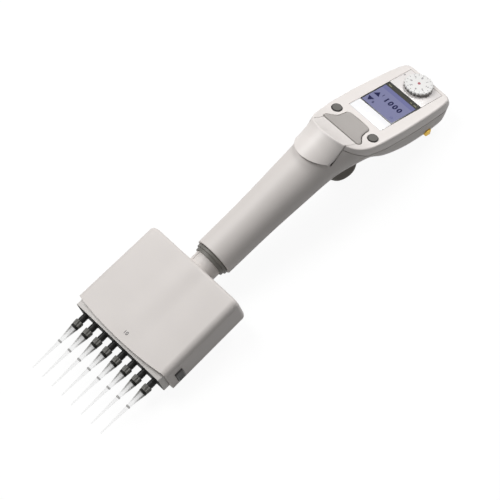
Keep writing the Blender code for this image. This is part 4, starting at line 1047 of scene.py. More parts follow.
@dataclass(frozen=True)
class LowerHousing:
    """The two shells round the cones and pistons, the latches in their sides, and the volume's digits.

    Attributes:
        bottom: the shells' lower edge at their sides.
        top: their upper end.
        half_widths: their half width at the bottom and at the top.
        front: the front's depth.
        back: the back's depth.
        corner: the radius of the upright corners.
        edge: the radius of the top edge.
        foot: how high the first section over the lower edge is.
        sections: how many sections the sides and the top edge have.
        flats: how many an upright corner, half the bow and half the ridge have.
        bow: how far the front's lower edge hangs down in the middle.
        bow_power: how full the bow is.
        bow_tool: half width, half depth and height of the tool that cuts it.
        seam: the depth at which the shells meet.
        ridge: how far the soft ridge stands out at the top.
        ridge_half_width: the ridge's half width.
        ridge_fade: the power by which it fades downwards.
        neck_hole: the radius of the hole for the neck.
        neck_reach: how far down it reaches.
        latch_low: the right latch's lowest corner.
        latch_high: its highest corner.
        latch_room: how much longer its slot is, inwards and outwards.
        latch_edge: the radius of its edges.
        grooves: how many grip grooves it has.
        groove: pitch, half width, depth and end margin of a groove.
        digits: text, height, spacing and weight of the digits.
        digits_at: where they stand, as (x, z).
        digits_lift: how far they stand out.
    """

    bottom: float = 50.3
    top: float = 112.5
    half_widths: Point = (40.0, 39.0)
    front: float = -12.3
    back: float = 11.5
    corner: float = 4.5
    edge: float = 3.0
    foot: float = 1.0
    sections: tuple[int, int] = (12, 7)
    flats: tuple[int, int, int] = (9, 24, 12)
    bow: float = 3.3
    bow_power: float = 0.8
    bow_tool: Place = (60.0, 30.0, 20.0)
    seam: float = 7.0
    ridge: float = 0.9
    ridge_half_width: float = 13.0
    ridge_fade: float = 0.7
    neck_hole: float = 9.8
    neck_reach: float = 7.0
    latch_low: Place = (36.7, -3.8, 55.5)
    latch_high: Place = (40.9, 5.8, 61.1)
    latch_room: float = 2.0
    latch_edge: float = 0.4
    grooves: int = 3
    groove: tuple[float, float, float, float] = (1.4, 0.25, 0.3, 1.0)
    digits: tuple[str, float, float, float] = ("10", 2.4, 1.05, 0.04)
    digits_at: Point = (1.4, 52.9)
    digits_lift: float = 0.04

    def build(self, shop: Workshop) -> None:
        """Make the shells, the latches and the digits.

        Args:
            shop: where the pieces are added.
        """
        body = "lower_body"
        shop.add("housing_front", self._front(), Look.HOUSING, body, "pale_housing", "lower_front_shell")
        shop.add("housing_back", self._back(), Look.HOUSING, body, "pale_housing", "lower_back_shell")
        for side, word in SIDES:
            node = f"{word}_latch"
            shop.add(f"{word}_latch_button", self._latch(side), Look.LATCH, node, "dark_grey", node)
        x, z = self.digits_at
        digits = shop.digits(*self.digits)
        place = Matrix.Translation((x, self.front - self._swell(x, z) - self.digits_lift, z))
        digits.transform(place @ Matrix.Rotation(math.pi / 2, 4, "X"))
        shop.add("volume_digits", digits, Look.PRINT, body, "dark_grey")

    def _swell(self, x: float, z: float) -> float:
        """Give how far the soft ridge stands out of the front.

        Args:
            x: the place across.
            z: the height.

        Returns:
            The ridge's height there.
        """
        share = max((z - self.bottom) / (self.top - self.bottom), 0.0)
        across = min(abs(x) / self.ridge_half_width, 1.0)
        return self.ridge * share**self.ridge_fade * math.cos(math.pi / 2 * across) ** 2

    def _ring(self, z: float, inset: float = 0.0) -> list[Vector]:
        """Give one section of the housing, a rounded box with a soft ridge down its front.

        Args:
            z: the section's height.
            inset: how far it lies inside the outer surface.

        Returns:
            A closed ring of points.
        """
        share = (z - self.bottom) / (self.top - self.bottom)
        drop = max(z - (self.top - self.edge), 0.0)
        tuck = inset + self.edge - math.sqrt(max(self.edge**2 - drop**2, 0.0))
        low, high = self.half_widths
        half_width = low + (high - low) * share - tuck
        front = self.front + tuck
        back = self.back - tuck
        if not inset:
            back = min(back, BENCH.depth_at(max(z, self.bottom)))
        corner = max(self.corner - inset, 1.0)
        points = []
        on_corner, _, on_ridge = self.flats
        for step in range(-on_ridge, on_ridge + 1):
            x = self.ridge_half_width * step / on_ridge
            points.append((x, front - self._swell(x, z)))
        corners = (
            (half_width - corner, front + corner, -90),
            (half_width - corner, back - corner, 0),
            (corner - half_width, back - corner, 90),
            (corner - half_width, front + corner, 180),
        )
        for x, y, first in corners:
            for step in range(on_corner + 1):
                angle = math.radians(first + 90 * step / on_corner)
                points.append((x + corner * math.cos(angle), y + corner * math.sin(angle)))
        return [Vector((x, y, z)) for x, y in points]

    def _hollow(self) -> Carver:
        """Give both shells as one hollow box with a hole for the neck.

        Returns:
            A carver that holds the box.
        """
        shoulder = self.top - self.edge
        sides, rounds = self.sections
        levels = [self.bottom - self.bow, self.bottom, self.bottom + self.foot]
        levels += [self.bottom + (shoulder - self.bottom) * step / sides for step in range(1, sides + 1)]
        levels += [
            shoulder + self.edge * math.sin(math.pi / 2 * step / rounds) for step in range(1, rounds + 1)
        ]
        room = (self.bottom - self.bow - 2 * PAST, (self.top + self.bottom) / 2, self.top - WALL)
        carver = Carver(loft([self._ring(z) for z in levels])).cut(loft([self._ring(z, WALL) for z in room]))
        return carver.cut(rod(self.neck_hole, shoulder - self.neck_reach, self.top + PAST_FACE, facets=64))

    def _front(self) -> BMesh:
        """Give the front shell, with its bowed lower edge and the slots for the latches.

        Returns:
            Its solid.
        """
        wide, deep, tall = self.bow_tool
        under = self.bottom - tall
        bow = [(-wide, under), (wide, under), (wide, self.bottom)]
        flats = self.flats[1]
        for step in range(flats, -flats - 1, -1):
            share = step / flats
            drop = self.bow * (1 - share * share) ** self.bow_power
            bow.append((self.half_widths[0] * share, self.bottom - drop))
        bow.append((-wide, self.bottom))
        carver = self._hollow().cut(block((-FAR, self.seam - GAP / 2, 0.0), (FAR, FAR, FAR)))
        carver.cut(loft([[Vector((x, y, z)) for x, z in bow] for y in (-deep, deep)]))
        room = Vector((self.latch_room, GAP, GAP))
        for side, _ in SIDES:
            carver.cut(beside(side, Vector(self.latch_low) - room, Vector(self.latch_high) + room))
        return carver.done()

    def _back(self) -> BMesh:
        """Give the back shell, cut straight along its lower edge."""
        carver = self._hollow().cut(block((-FAR, -FAR, 0.0), (FAR, self.seam + GAP / 2, FAR)))
        return carver.cut(block((-FAR, 0.0, 0.0), (FAR, FAR, self.bottom))).done()

    def _latch(self, side: int) -> BMesh:
        """Give one latch button with its grip grooves.

        Args:
            side: one for the right, and minus one for the left.

        Returns:
            Its solid.
        """
        carver = Carver(beside(side, self.latch_low, self.latch_high, self.latch_edge))
        _, front, foot = self.latch_low
        outer, back, _ = self.latch_high
        pitch, half_width, depth, margin = self.groove
        for step in range(self.grooves):
            z = foot + pitch * (step + 1)
            low = (outer - depth, front + margin, z - half_width)
            carver.cut(beside(side, low, (outer + PAST, back - margin, z + half_width)))
        return carver.done()


@dataclass(frozen=True)
class Neck:
    """The neck that the lower housing swivels on, and the stepped ring at the handle's mouth.

    Attributes:
        tube: the neck's outline, as (radius, z).
        flange_low: the lowest corner of the flange inside the housing.
        flange_high: its highest corner.
        flange_hole: the hole through the flange.
        slot_turn: how far round from the front the narrow slot lies, in degrees.
        slot_low: the slot's lowest corner at the front.
        slot_high: its highest corner there.
        ring: the stepped ring's outline, as (radius, z).
        edges: the radius of the tube's edges and of the ring's.
        facets: how many flats a turn has.
    """

    tube: Outline = ((9.5, 108.7), (9.5, 128.3), (10.8, 128.3), (10.8, 130.3), (7.8, 130.3), (7.8, 108.7))
    flange_low: Place = (-14.0, -9.0, 108.7)
    flange_high: Place = (14.0, 9.0, 110.4)
    flange_hole: float = 8.7
    slot_turn: float = -33.0
    slot_low: Place = (-0.3, -13.0, 113.4)
    slot_high: Place = (0.3, -9.0, 119.2)
    ring: Outline = (
        (9.8, 119.6), (10.8, 119.6), (10.8, 121.8), (11.9, 121.8), (11.9, 123.7), (11.1, 123.7),
        (11.1, 128.0), (9.8, 128.0),
    )
    edges: Point = (0.3, 0.35)
    facets: int = 80

    def build(self, shop: Workshop) -> None:
        """Make the neck and the ring.

        Args:
            shop: where the pieces are added.
        """
        tube_edge, ring_edge = self.edges
        low, high = self.flange_low[2] - PAST, self.flange_high[2] + PAST
        flange = Carver(block(self.flange_low, self.flange_high))
        flange.cut(rod(self.flange_hole, low, high, facets=self.facets))
        carver = Carver(spun(rounded(self.tube, tube_edge), facets=self.facets)).join(flange.done())
        slot = block(self.slot_low, self.slot_high)
        slot.transform(Matrix.Rotation(math.radians(self.slot_turn), 4, "Z"))
        carver.cut(slot)
        shop.add("neck", carver.done(), Look.HOUSING, "lower_body", "pale_housing", "neck_tube")
        ring = spun(rounded(self.ring, ring_edge), facets=self.facets)
        shop.add("stepped_ring", ring, Look.RING, "handle", "mid_grey", "coupling_ring")


@dataclass(frozen=True)
class BodyForm:
    """The shape that the handle and the head share.

    Attributes:
        stations: height, half width, front reach, middle, back reach, and how square the front and
            the back of the section are.
        flat_from: the height over which the display face cuts the sections.
        face_edge: how wide the rounded edge of the face is.
        dome: how far down the top edge's rounding starts.
        seam: where the head's front shell ends, as (y, z) up to the part parallel to the face.
        seam_heights: the face heights that the parallel part runs between.
        seam_depth: how far it lies behind the face.
        seam_gap: how wide the line between the shells is.
        slab: half the width of the slab that splits the body there.
        counts: how many points an outer section has on half the face, the face's edge, a side and
            half the back.
        hidden_counts: the same of a section inside the shells.
        hidden_edge: how wide the face's edge is there.
        corner_floor: the least share of the reach at which the face and its edge end.
        face_floor: the least half width of the flat face.
        side_start: how far round from its widest point a full section's side begins.
        mouth_edge: the radius of the rim at the mouth.
        pitches: how far apart sections lie at the mouth, along the handle and along the head.
        fine_from: how far above the mouth they lie closer.
        dome_steps: how many flats the top edge has.
    """

    stations: Sequence[Sequence[float]] = (
        (124.0, 13.2, -13.2, 0.0, 13.2, 2.0, 2.0), (160.0, 13.6, -13.6, 0.0, 13.6, 2.0, 2.0),
        (189.7, 14.8, -14.9, 0.0, 14.8, 2.0, 2.0), (205.0, 15.5, -15.6, 0.0, 15.5, 2.0, 2.0),
        (214.0, 16.5, -15.9, 0.0, 15.6, 2.0, 2.1), (222.0, 18.2, -18.2, 0.0, 15.8, 2.0, 2.3),
        (228.0, 19.8, -19.8, 0.5, 16.0, 2.1, 2.5), (236.0, 21.4, -21.0, 4.0, 17.4, 2.3, 2.6),
        (243.0, 22.5, -16.0, 11.0, 24.4, 3.0, 2.8), (251.0, 23.0, -4.0, 16.0, 31.4, 3.5, 3.0),
        (263.0, 22.9, 2.0, 22.0, 40.1, 4.0, 3.2), (277.7, 22.3, 11.0, 30.0, 46.9, 4.0, 3.2),
        (284.0, 21.9, 14.5, 33.5, 48.9, 4.0, 3.2), (290.0, 21.4, 18.0, 36.5, 49.8, 4.0, 3.2),
        (293.5, 20.9, 20.5, 37.0, 47.6, 4.0, 3.0), (297.0, 20.2, 23.0, 36.5, 44.0, 4.0, 2.8),
        (300.0, 19.2, 25.5, 36.5, 41.6, 4.0, 2.6), (302.2, 17.3, 28.0, 36.3, 39.6, 4.0, 2.4),
    )
    flat_from: float = 214.0
    face_edge: float = 1.4
    dome: float = 2.0
    seam: Outline = ((-30.0, 212.0), (-8.0, 226.0), (4.6, 234.0))
    seam_heights: Point = (-26.0, 50.0)
    seam_depth: float = 7.0
    seam_gap: float = 0.5
    slab: float = 80.0
    counts: tuple[int, int, int, int] = (8, 5, 10, 18)
    hidden_counts: tuple[int, int, int, int] = (4, 1, 4, 8)
    hidden_edge: float = 0.02
    corner_floor: Point = (0.03, 0.02)
    face_floor: float = 0.5
    side_start: float = math.radians(35)
    mouth_edge: float = 0.3
    pitches: Place = (2.0, 3.0, 1.5)
    fine_from: float = 80.0
    dome_steps: int = 5

    def ring(
        self, z: float, inset: float = 0.0, face_inset: float = 0.0, fine: bool = True
    ) -> list[Vector]:
        """Give one section of the handle and head.

        Args:
            z: the section's height.
            inset: how far it lies inside the outer surface.
            face_inset: how far it lies behind the display face.
            fine: whether it has enough points to be seen.

        Returns:
            A closed ring of points.
        """
        on_face, on_edge, on_side, on_back = self.counts if fine else self.hidden_counts
        width, front, middle, back, front_power, back_power = smooth_row(self.stations, z)
        width -= inset
        front += inset
        back -= inset
        face = FACE.depth_at(z) + face_inset / math.cos(FACE.tilt)
        reach = middle - front
        share = (middle - face) / reach
        edge = self.hidden_edge if inset else self.face_edge
        corner_least, start_least = self.corner_floor

        def front_at(angle: float) -> Vector:
            """Give the section's front at an angle from its side."""
            x = width * max(math.cos(angle), 0.0) ** (2 / front_power)
            return Vector((x, middle - reach * math.sin(angle) ** (2 / front_power)))

        if share < 1.0 and z > self.flat_from:
            turn = math.asin(max(share, corner_least) ** (front_power / 2))
            corner = Vector((front_at(turn).x, face))
            start = math.asin(max(share - edge / reach, start_least) ** (front_power / 2))
            begin = Vector((max(corner.x - edge, self.face_floor), face))
            half = [Vector((begin.x * step / on_face, face)) for step in range(on_face)]
            half += bend(begin, corner, front_at(start), on_edge + 1)[:-1]
        else:
            start = self.side_start
            count = on_face + on_edge + 1
            half = [front_at(math.pi / 2 - (math.pi / 2 - start) * step / count) for step in range(count)]
            half[0] = Vector((0.0, front))
        half += [front_at(start * (1 - step / on_side)) for step in range(on_side)]
        for step in range(on_back + 1):
            angle = math.pi / 2 * step / on_back
            x = width * max(math.cos(angle), 0.0) ** (2 / back_power)
            y = middle + (back - middle) * math.sin(angle) ** (2 / back_power)
            half.append(Vector((x, min(y, BENCH.depth_at(z) - inset))))
        half[-1].x = 0.0
        other = [Vector((-place.x, place.y)) for place in half[-2:0:-1]]
        return [Vector((place.x, place.y, z)) for place in half + other]

    def back_at(self, z: float) -> float:
        """Give the y of the middle of the back at a height."""
        return max(place.y for place in self.ring(z))

    def outside(self) -> BMesh:
        """Give the solid inside the outer surface, with a soft rim at the mouth and at the top.

        Returns:
            The full solid.
        """
        mouth = self.stations[0][0]
        top = self.stations[-1][0]
        first, coarse, fine = self.pitches
        rings = [self.ring(mouth, self.mouth_edge), self.ring(mouth + self.mouth_edge)]
        z = mouth + first
        while z < top - self.dome:
            rings.append(self.ring(z))
            z += coarse if z < mouth + self.fine_from else fine
        for step in range(self.dome_steps + 1):
            turn = math.pi / 2 * step / self.dome_steps
            ring = self.ring(top - self.dome + self.dome * math.sin(turn))
            middle = sum(ring, Vector()) / len(ring)
            share = self.dome * (1 - math.cos(turn)) / max((place - middle).length for place in ring)
            tuck = Vector((1 - share, 1 - 2 * share, 1.0))
            rings.append([middle + (place - middle) * tuck for place in ring])
        return loft(rings)

    def inside(self) -> BMesh:
        """Give the room inside the shells.

        Returns:
            The solid that fills it.
        """
        top = self.stations[-1][0] - WALL
        pitch = self.pitches[1]
        levels = [self.stations[0][0] - 2 * PAST]
        while levels[-1] < top - pitch:
            levels.append(levels[-1] + pitch)
        return loft([self.ring(z, WALL, FACE_WALL, False) for z in (*levels, top)])

    def room(self, behind: bool) -> BMesh:
        """Give the room behind the head's seam, or in front of it.

        Args:
            behind: which side of the seam is wanted.

        Returns:
            A slab that fills that side.
        """
        line = list(self.seam)
        for v in self.seam_heights:
            place = FACE.point(0, v, -self.seam_depth)
            line.append((place.y, place.z))
        offset = -self.seam_gap / 2 if behind else self.seam_gap / 2
        shift = (-offset * math.cos(FACE.tilt), offset * math.sin(FACE.tilt))
        line = [(y + shift[0], z + shift[1]) for y, z in line]
        far_y = FAR if behind else -FAR
        ends = [(far_y, line[-1][1]), (far_y, 0.0), (-FAR, 0.0)] if behind else [(far_y, line[-1][1])]
        return sidelong(line + ends + [(-FAR, line[0][1])], self.slab)


BODY = BodyForm()


@dataclass(frozen=True)
class Shells:
    """The shells of the handle and the head, the battery's cover and the charging contacts.

    Attributes:
        panel: half width, bottom and top of the pocket for the panels.
        panel_depth: the pocket's depth.
        corner: the radius of its corners and of the rocker's.
        module: half width, half height and depth of the display's opening.
        dial_hole: radius, face height and depth of the hole for the dial's hub.
        key_hole: radius, x, face height and depth of the holes for the softkeys.
        rocker_hole: the rocker's outline on the right, as (x, v).
        rocker_room: how much wider its hole is, and how deep.
        reach: a length past the head's front and back.
        thumb_start: the face height at which the ejector button starts.
        thumb_steps: how many points of its curve the button's slot follows.
        thumb_pitch: how far apart they lie.
        thumb_depths: how far the slot reaches in behind the face, and out before the shelf.
        thumb_half_width: the slot's half width.
        handle_seam: the depth at which the handle's shells meet.
        handle_top: the height at which the handle's front shell opens for the button.
        cover: half width, bottom and top of the battery's cover on the face's scale.
        cover_front: how far behind the face the cover starts.
        cover_corner: the radius of its corners.
        grips: how many grip grooves the cover has.
        grip_start: the height of the first one.
        grip: pitch, half length, depth and half width of a groove.
        contact: face height, depth and size of a charging contact.
        contact_reach: how far a contact reaches into the head's side, and out of it.
        contact_edge: the radius of its edges.
    """

    panel: Place = (14.2, -22.7, 32.1)
    panel_depth: float = 1.1
    corner: float = 0.8
    module: Place = (12.5, 11.7, 4.0)
    dial_hole: Place = (2.9, 24.4, 5.0)
    key_hole: tuple[float, float, float, float] = (3.65, 16.0, -31.3, 6.0)
    rocker_hole: Outline = (
        (0.0, -27.0), (7.6, -27.3), (9.6, -28.6), (10.0, -32.4), (10.7, -35.6), (13.0, -38.4),
        (15.3, -40.6), (15.6, -42.4), (14.9, -44.0), (13.6, -44.4), (0.0, -44.4),
    )
    rocker_room: Point = (0.5, 7.0)
    reach: float = 60.0
    thumb_start: float = -44.4
    thumb_steps: int = 17
    thumb_pitch: float = 1.2
    thumb_depths: Point = (12.0, 6.0)
    thumb_half_width: float = 14.5
    handle_seam: float = 3.0
    handle_top: float = 212.0
    cover: Place = (13.0, -16.0, 21.5)
    cover_front: float = -15.5
    cover_corner: float = 1.2
    grips: int = 4
    grip_start: float = 262.0
    grip: tuple[float, float, float, float] = (1.8, 5.5, 0.45, 0.4)
    contact: Place = (14.8, -15.8, 4.2)
    contact_reach: Point = (5.0, 0.9)
    contact_edge: float = 0.6

    def build(self, shop: Workshop) -> None:
        """Make the shells, the cover and the contacts.

        Args:
            shop: where the pieces are added.
        """
        body = "handle"
        shop.add("head_face", self._head(), Look.HEAD, body, "pale_housing", "head_front_shell")
        shop.add("handle_front", self._handle(), Look.HOUSING, body, "pale_housing", "handle_front_shell")
        shop.add("rear_casing", self._rear(), Look.HOUSING, body, "pale_housing", "rear_shell")
        shop.add("battery_door", self._door(), Look.HOUSING, body, "pale_housing", "battery_cover")
        for side, word in SIDES:
            contact = self._contact(side, 0.0)
            softened(contact, contact.edges, self.contact_edge)
            node = f"{word}_charging_contact"
            shop.add(f"{word}_gold_contact", contact, Look.GOLD, body, "gold_contact", node)

    def _head(self) -> BMesh:
        """Give the head's front shell with its pockets and openings.

        Returns:
            Its solid.
        """
        carver = Carver(BODY.outside()).cut(BODY.inside())
        carver.cut(raised(rounded(upright(*self.panel), self.corner), -self.panel_depth, PAST_FACE))
        half_width, half_height, depth = self.module
        carver.cut(raised(upright(half_width, -half_height, half_height), -depth, PAST_FACE))
        radius, v, depth = self.dial_hole
        carver.cut(raised(circle(radius, 0.0, v), -depth, PAST_FACE))
        radius, x, v, depth = self.key_hole
        for side, _ in SIDES:
            carver.cut(raised(circle(radius, side * x, v), -depth, PAST_FACE))
        mirrored = [(-x, v) for x, v in self.rocker_hole[-2:0:-1]]
        rocker = (list(self.rocker_hole) + mirrored)[::-1]
        room, depth = self.rocker_room
        carver.cut(raised(grown(rounded(rocker, self.corner), room), -depth, PAST_FACE + PAST))
        carver.keep(BODY.room(False))
        thumb = []
        behind, before = self.thumb_depths
        for step in range(self.thumb_steps):
            v = self.thumb_start - step * self.thumb_pitch
            place = FACE.point(0, v, FACE.lift(v) + before)
            thumb.append((place.y, place.z))
        start = FACE.point(0, self.thumb_start, -behind)
        low = BODY.stations[0][0]
        slot = [(start.y, start.z), *thumb, (-self.reach, low), (start.y, low)]
        return carver.cut(sidelong(slot, self.thumb_half_width)).done()

    def _handle(self) -> BMesh:
        """Give the handle's front shell, open under the ejector button.

        Returns:
            Its solid.
        """
        carver = Carver(BODY.outside()).cut(BODY.inside()).keep(BODY.room(True))
        carver.cut(block((-FAR, self.handle_seam - GAP / 2, 0.0), (FAR, FAR, 2 * FAR)))
        half = self.thumb_half_width
        return carver.cut(block((-half, -FAR, self.handle_top), (half, FAR, 2 * FAR))).done()

    def _rear(self) -> BMesh:
        """Give the rear shell, with its openings for the battery's cover and the contacts.

        Returns:
            Its solid.
        """
        carver = Carver(BODY.outside()).cut(BODY.inside()).keep(BODY.room(True))
        carver.cut(block((-FAR, -FAR, 0.0), (FAR, self.handle_seam + GAP / 2, 2 * FAR)))
        half_width, bottom, top = self.cover
        opening = rounded(upright(half_width + GAP, bottom - GAP, top + GAP), self.cover_corner)
        carver.cut(raised(opening, -self.reach, self.cover_front + GAP))
        for side, _ in SIDES:
            carver.cut(self._contact(side, GAP))
        return carver.done()

    def _door(self) -> BMesh:
        """Give the battery's cover, with grip grooves across its lower end.

        Returns:
            Its solid.
        """
        carver = Carver(BODY.outside()).cut(BODY.inside())
        outline = rounded(upright(*self.cover), self.cover_corner)
        carver.keep(raised(outline, -self.reach, self.cover_front))
        pitch, half, depth, tall = self.grip
        for step in range(self.grips):
            z = self.grip_start + step * pitch
            y = BODY.back_at(z)
            carver.cut(block((-half, y - depth, z - tall), (half, y + 3 * PAST, z + tall)))
        return carver.done()

    def _contact(self, side: int, clearance: float) -> BMesh:
        """Give one charging contact, or the hole it stands in.

        Args:
            side: one for the right, and minus one for the left.
            clearance: how much larger the hole is, or nought for the contact.

        Returns:
            The solid.
        """
        v, depth, size = self.contact
        half = size / 2 + clearance
        wall = smooth_row(BODY.stations, FACE.point(0, v, depth).z)[0]
        inner, outer = self.contact_reach
        near, far = sorted((side * (wall - inner - clearance), side * (wall + outer + clearance)))
        outline = upright((far - near) / 2, v - half, v + half, (near + far) / 2)
        return raised(outline, depth - half, depth + half)


@dataclass(frozen=True)
class ThumbEjector:
    """The ejector button: a thumb shelf, a soft lip, a shroud round the handle's front, and side cheeks.

    Attributes:
        half_width: its half width.
        start: the face height of its top edge.
        radii: height and radius of the shroud.
        rim: the height of the shroud's rim at its foremost point.
        rim_slope: how fast the rim rises towards the back.
        rim_y: the depth at which the rim has that height.
        cheeks: how far back the cheeks reach, by height.
        wall: its wall.
        cheek_wall: the cheeks' wall.
        cheek_normal: how squarely a cheek's faces look sideways.
        cheek_least: how far back a cheek reaches at least.
        columns: how many columns its skin has.
        cheek_columns: how many of them each cheek takes.
        rows: how many rows its skin has.
        row_counts: how many pieces the shelf, the lip's bend and the shroud have.
        shelf_end: the shelf's lowest face height.
        search: the steps in which the lip and the rim are found.
    """

    half_width: float = 14.2
    start: float = -44.7
    radii: Sequence[Point] = (
        (200.0, 17.7), (214.0, 17.9), (220.0, 18.6), (223.0, 19.2), (225.5, 20.0), (238.0, 21.0),
    )
    rim: float = 203.5
    rim_slope: float = 1.05
    rim_y: float = -17.4
    cheeks: Sequence[Point] = ((205.0, -8.7), (221.5, -8.7), (224.5, -7.4), (240.0, -7.2))
    wall: float = 1.0
    cheek_wall: float = 0.3
    cheek_normal: float = 0.95
    cheek_least: float = 1.0
    columns: int = 54
    cheek_columns: int = 3
    rows: int = 46
    row_counts: tuple[int, int, int] = (18, 7, 23)
    shelf_end: float = -75.0
    search: Point = (0.02, 0.05)

    def build(self, shop: Workshop) -> None:
        """Make the button as one skin.

        Args:
            shop: where the piece is added.
        """
        lines = [self._line(column) for column in range(self.columns + 1)]

        def place(across: float, down: float) -> Vector:
            """Give the skin's point from its column and row."""
            return lines[round(across * self.columns)][round(down * self.rows)]

        def inwards(_: Vector, out: Vector) -> Vector:
            """Give how far the skin's inside lies from its outside."""
            return -out * (self.cheek_wall if abs(out.x) > self.cheek_normal else self.wall)

        button = thickened(sheet(self.columns, self.rows, place), inwards)
        node = "ejector_button"
        shop.add("thumb_ejector", button, Look.HEAD, node, "pale_housing", node, 50)

    def _line(self, column: int) -> list[Vector]:
        """Give one line down the button's outside, from the shelf's back edge to the shroud's rim.

        Args:
            column: the line's number, from the left cheek to the right one.

        Returns:
            The points of the line.
        """
        span = self.columns - 2 * self.cheek_columns
        along = min(max((column - self.cheek_columns) / span, 0.0), 1.0)
        x = self.half_width * math.sin(math.pi / 2 * (2 * along - 1))
        past = max(self.cheek_columns - column, column - self.cheek_columns - span, 0) / self.cheek_columns

        def shroud(z: float) -> float:
            """Give the shroud's y at a height."""
            radius = smooth_row(self.radii, z)[0]
            return -math.sqrt(max(radius * radius - x * x, 1.0))

        v = self.start
        lip = FACE.point(x, v, FACE.lift(v))
        lip_step, rim_step = self.search
        while lip.y > shroud(lip.z) and v > self.shelf_end:
            v -= lip_step
            lip = FACE.point(x, v, FACE.lift(v))
        rim = lip.z
        while rim > self.rim + self.rim_slope * (shroud(rim) - self.rim_y):
            rim -= rim_step
        on_shelf, on_lip, on_shroud = self.row_counts
        heights = [self.start + (v - self.start) * step / on_shelf for step in range(on_shelf)]
        shelf = [FACE.point(x, height, FACE.lift(height)) for height in heights]
        levels = [lip.z + (rim - lip.z) * step / on_shroud for step in range(1, on_shroud + 1)]
        down = [Vector((x, shroud(z), z)) for z in levels]
        line = shelf + bend(shelf[-1], lip, down[0], on_lip)[1:-1] + down
        reach = [max(smooth_row(self.cheeks, point.z)[0] - point.y, self.cheek_least) for point in line]
        return [point + Vector((0.0, past * deep, 0.0)) for point, deep in zip(line, reach)]


@dataclass(frozen=True)
class FingerHook:
    """The index finger's rest, a rounded rubber lobe that thins towards its two sides.

    Attributes:
        outline: the lobe's outline from the side, as (y, z).
        middle: the point that it shrinks towards.
        half_width: its half width.
        side_share: how much of the outline is left at its sides.
        fullness: the power by which it stays full towards them.
        seat: the heights that it sits between on the handle.
        steps: how many pieces lie between two points of the outline, across each half of the lobe
            and along its seat.
    """

    outline: Outline = (
        (12.0, 207.5), (20.0, 210.6), (27.0, 213.9), (31.6, 218.4), (33.6, 223.0), (33.4, 227.2),
        (30.6, 230.3), (25.0, 233.3), (20.0, 236.6), (12.0, 236.6),
    )
    middle: Point = (14.0, 222.0)
    half_width: float = 10.5
    side_share: float = 0.6
    fullness: int = 6
    seat: Point = (202.0, 244.0)
    steps: tuple[int, int, int] = (4, 12, 21)

    def build(self, shop: Workshop) -> None:
        """Make the lobe, cut to the handle's back.

        Args:
            shop: where the piece is added.
        """
        on_curve, across, along = self.steps
        middle = Vector(self.middle)
        outline = [Vector(place) - middle for place in curved(self.outline, on_curve)]
        rings = []
        for step in range(2 * across + 1):
            share = math.sin(math.pi / 2 * (step / across - 1))
            shrink = self.side_share + (1 - self.side_share) * (1 - abs(share) ** self.fullness) ** 0.5
            places = [middle + place * shrink for place in outline]
            rings.append([Vector((self.half_width * share, place.x, place.y)) for place in places])
        low, high = self.seat
        levels = [low + (high - low) * step / along for step in range(along + 1)]
        seat = loft([BODY.ring(z, -GAP, -GAP, False) for z in levels])
        rest = Carver(loft(rings)).cut(seat).done()
        shop.add("finger_hook", rest, Look.GRIP, "handle", "dark_grip", "finger_rest", 50)


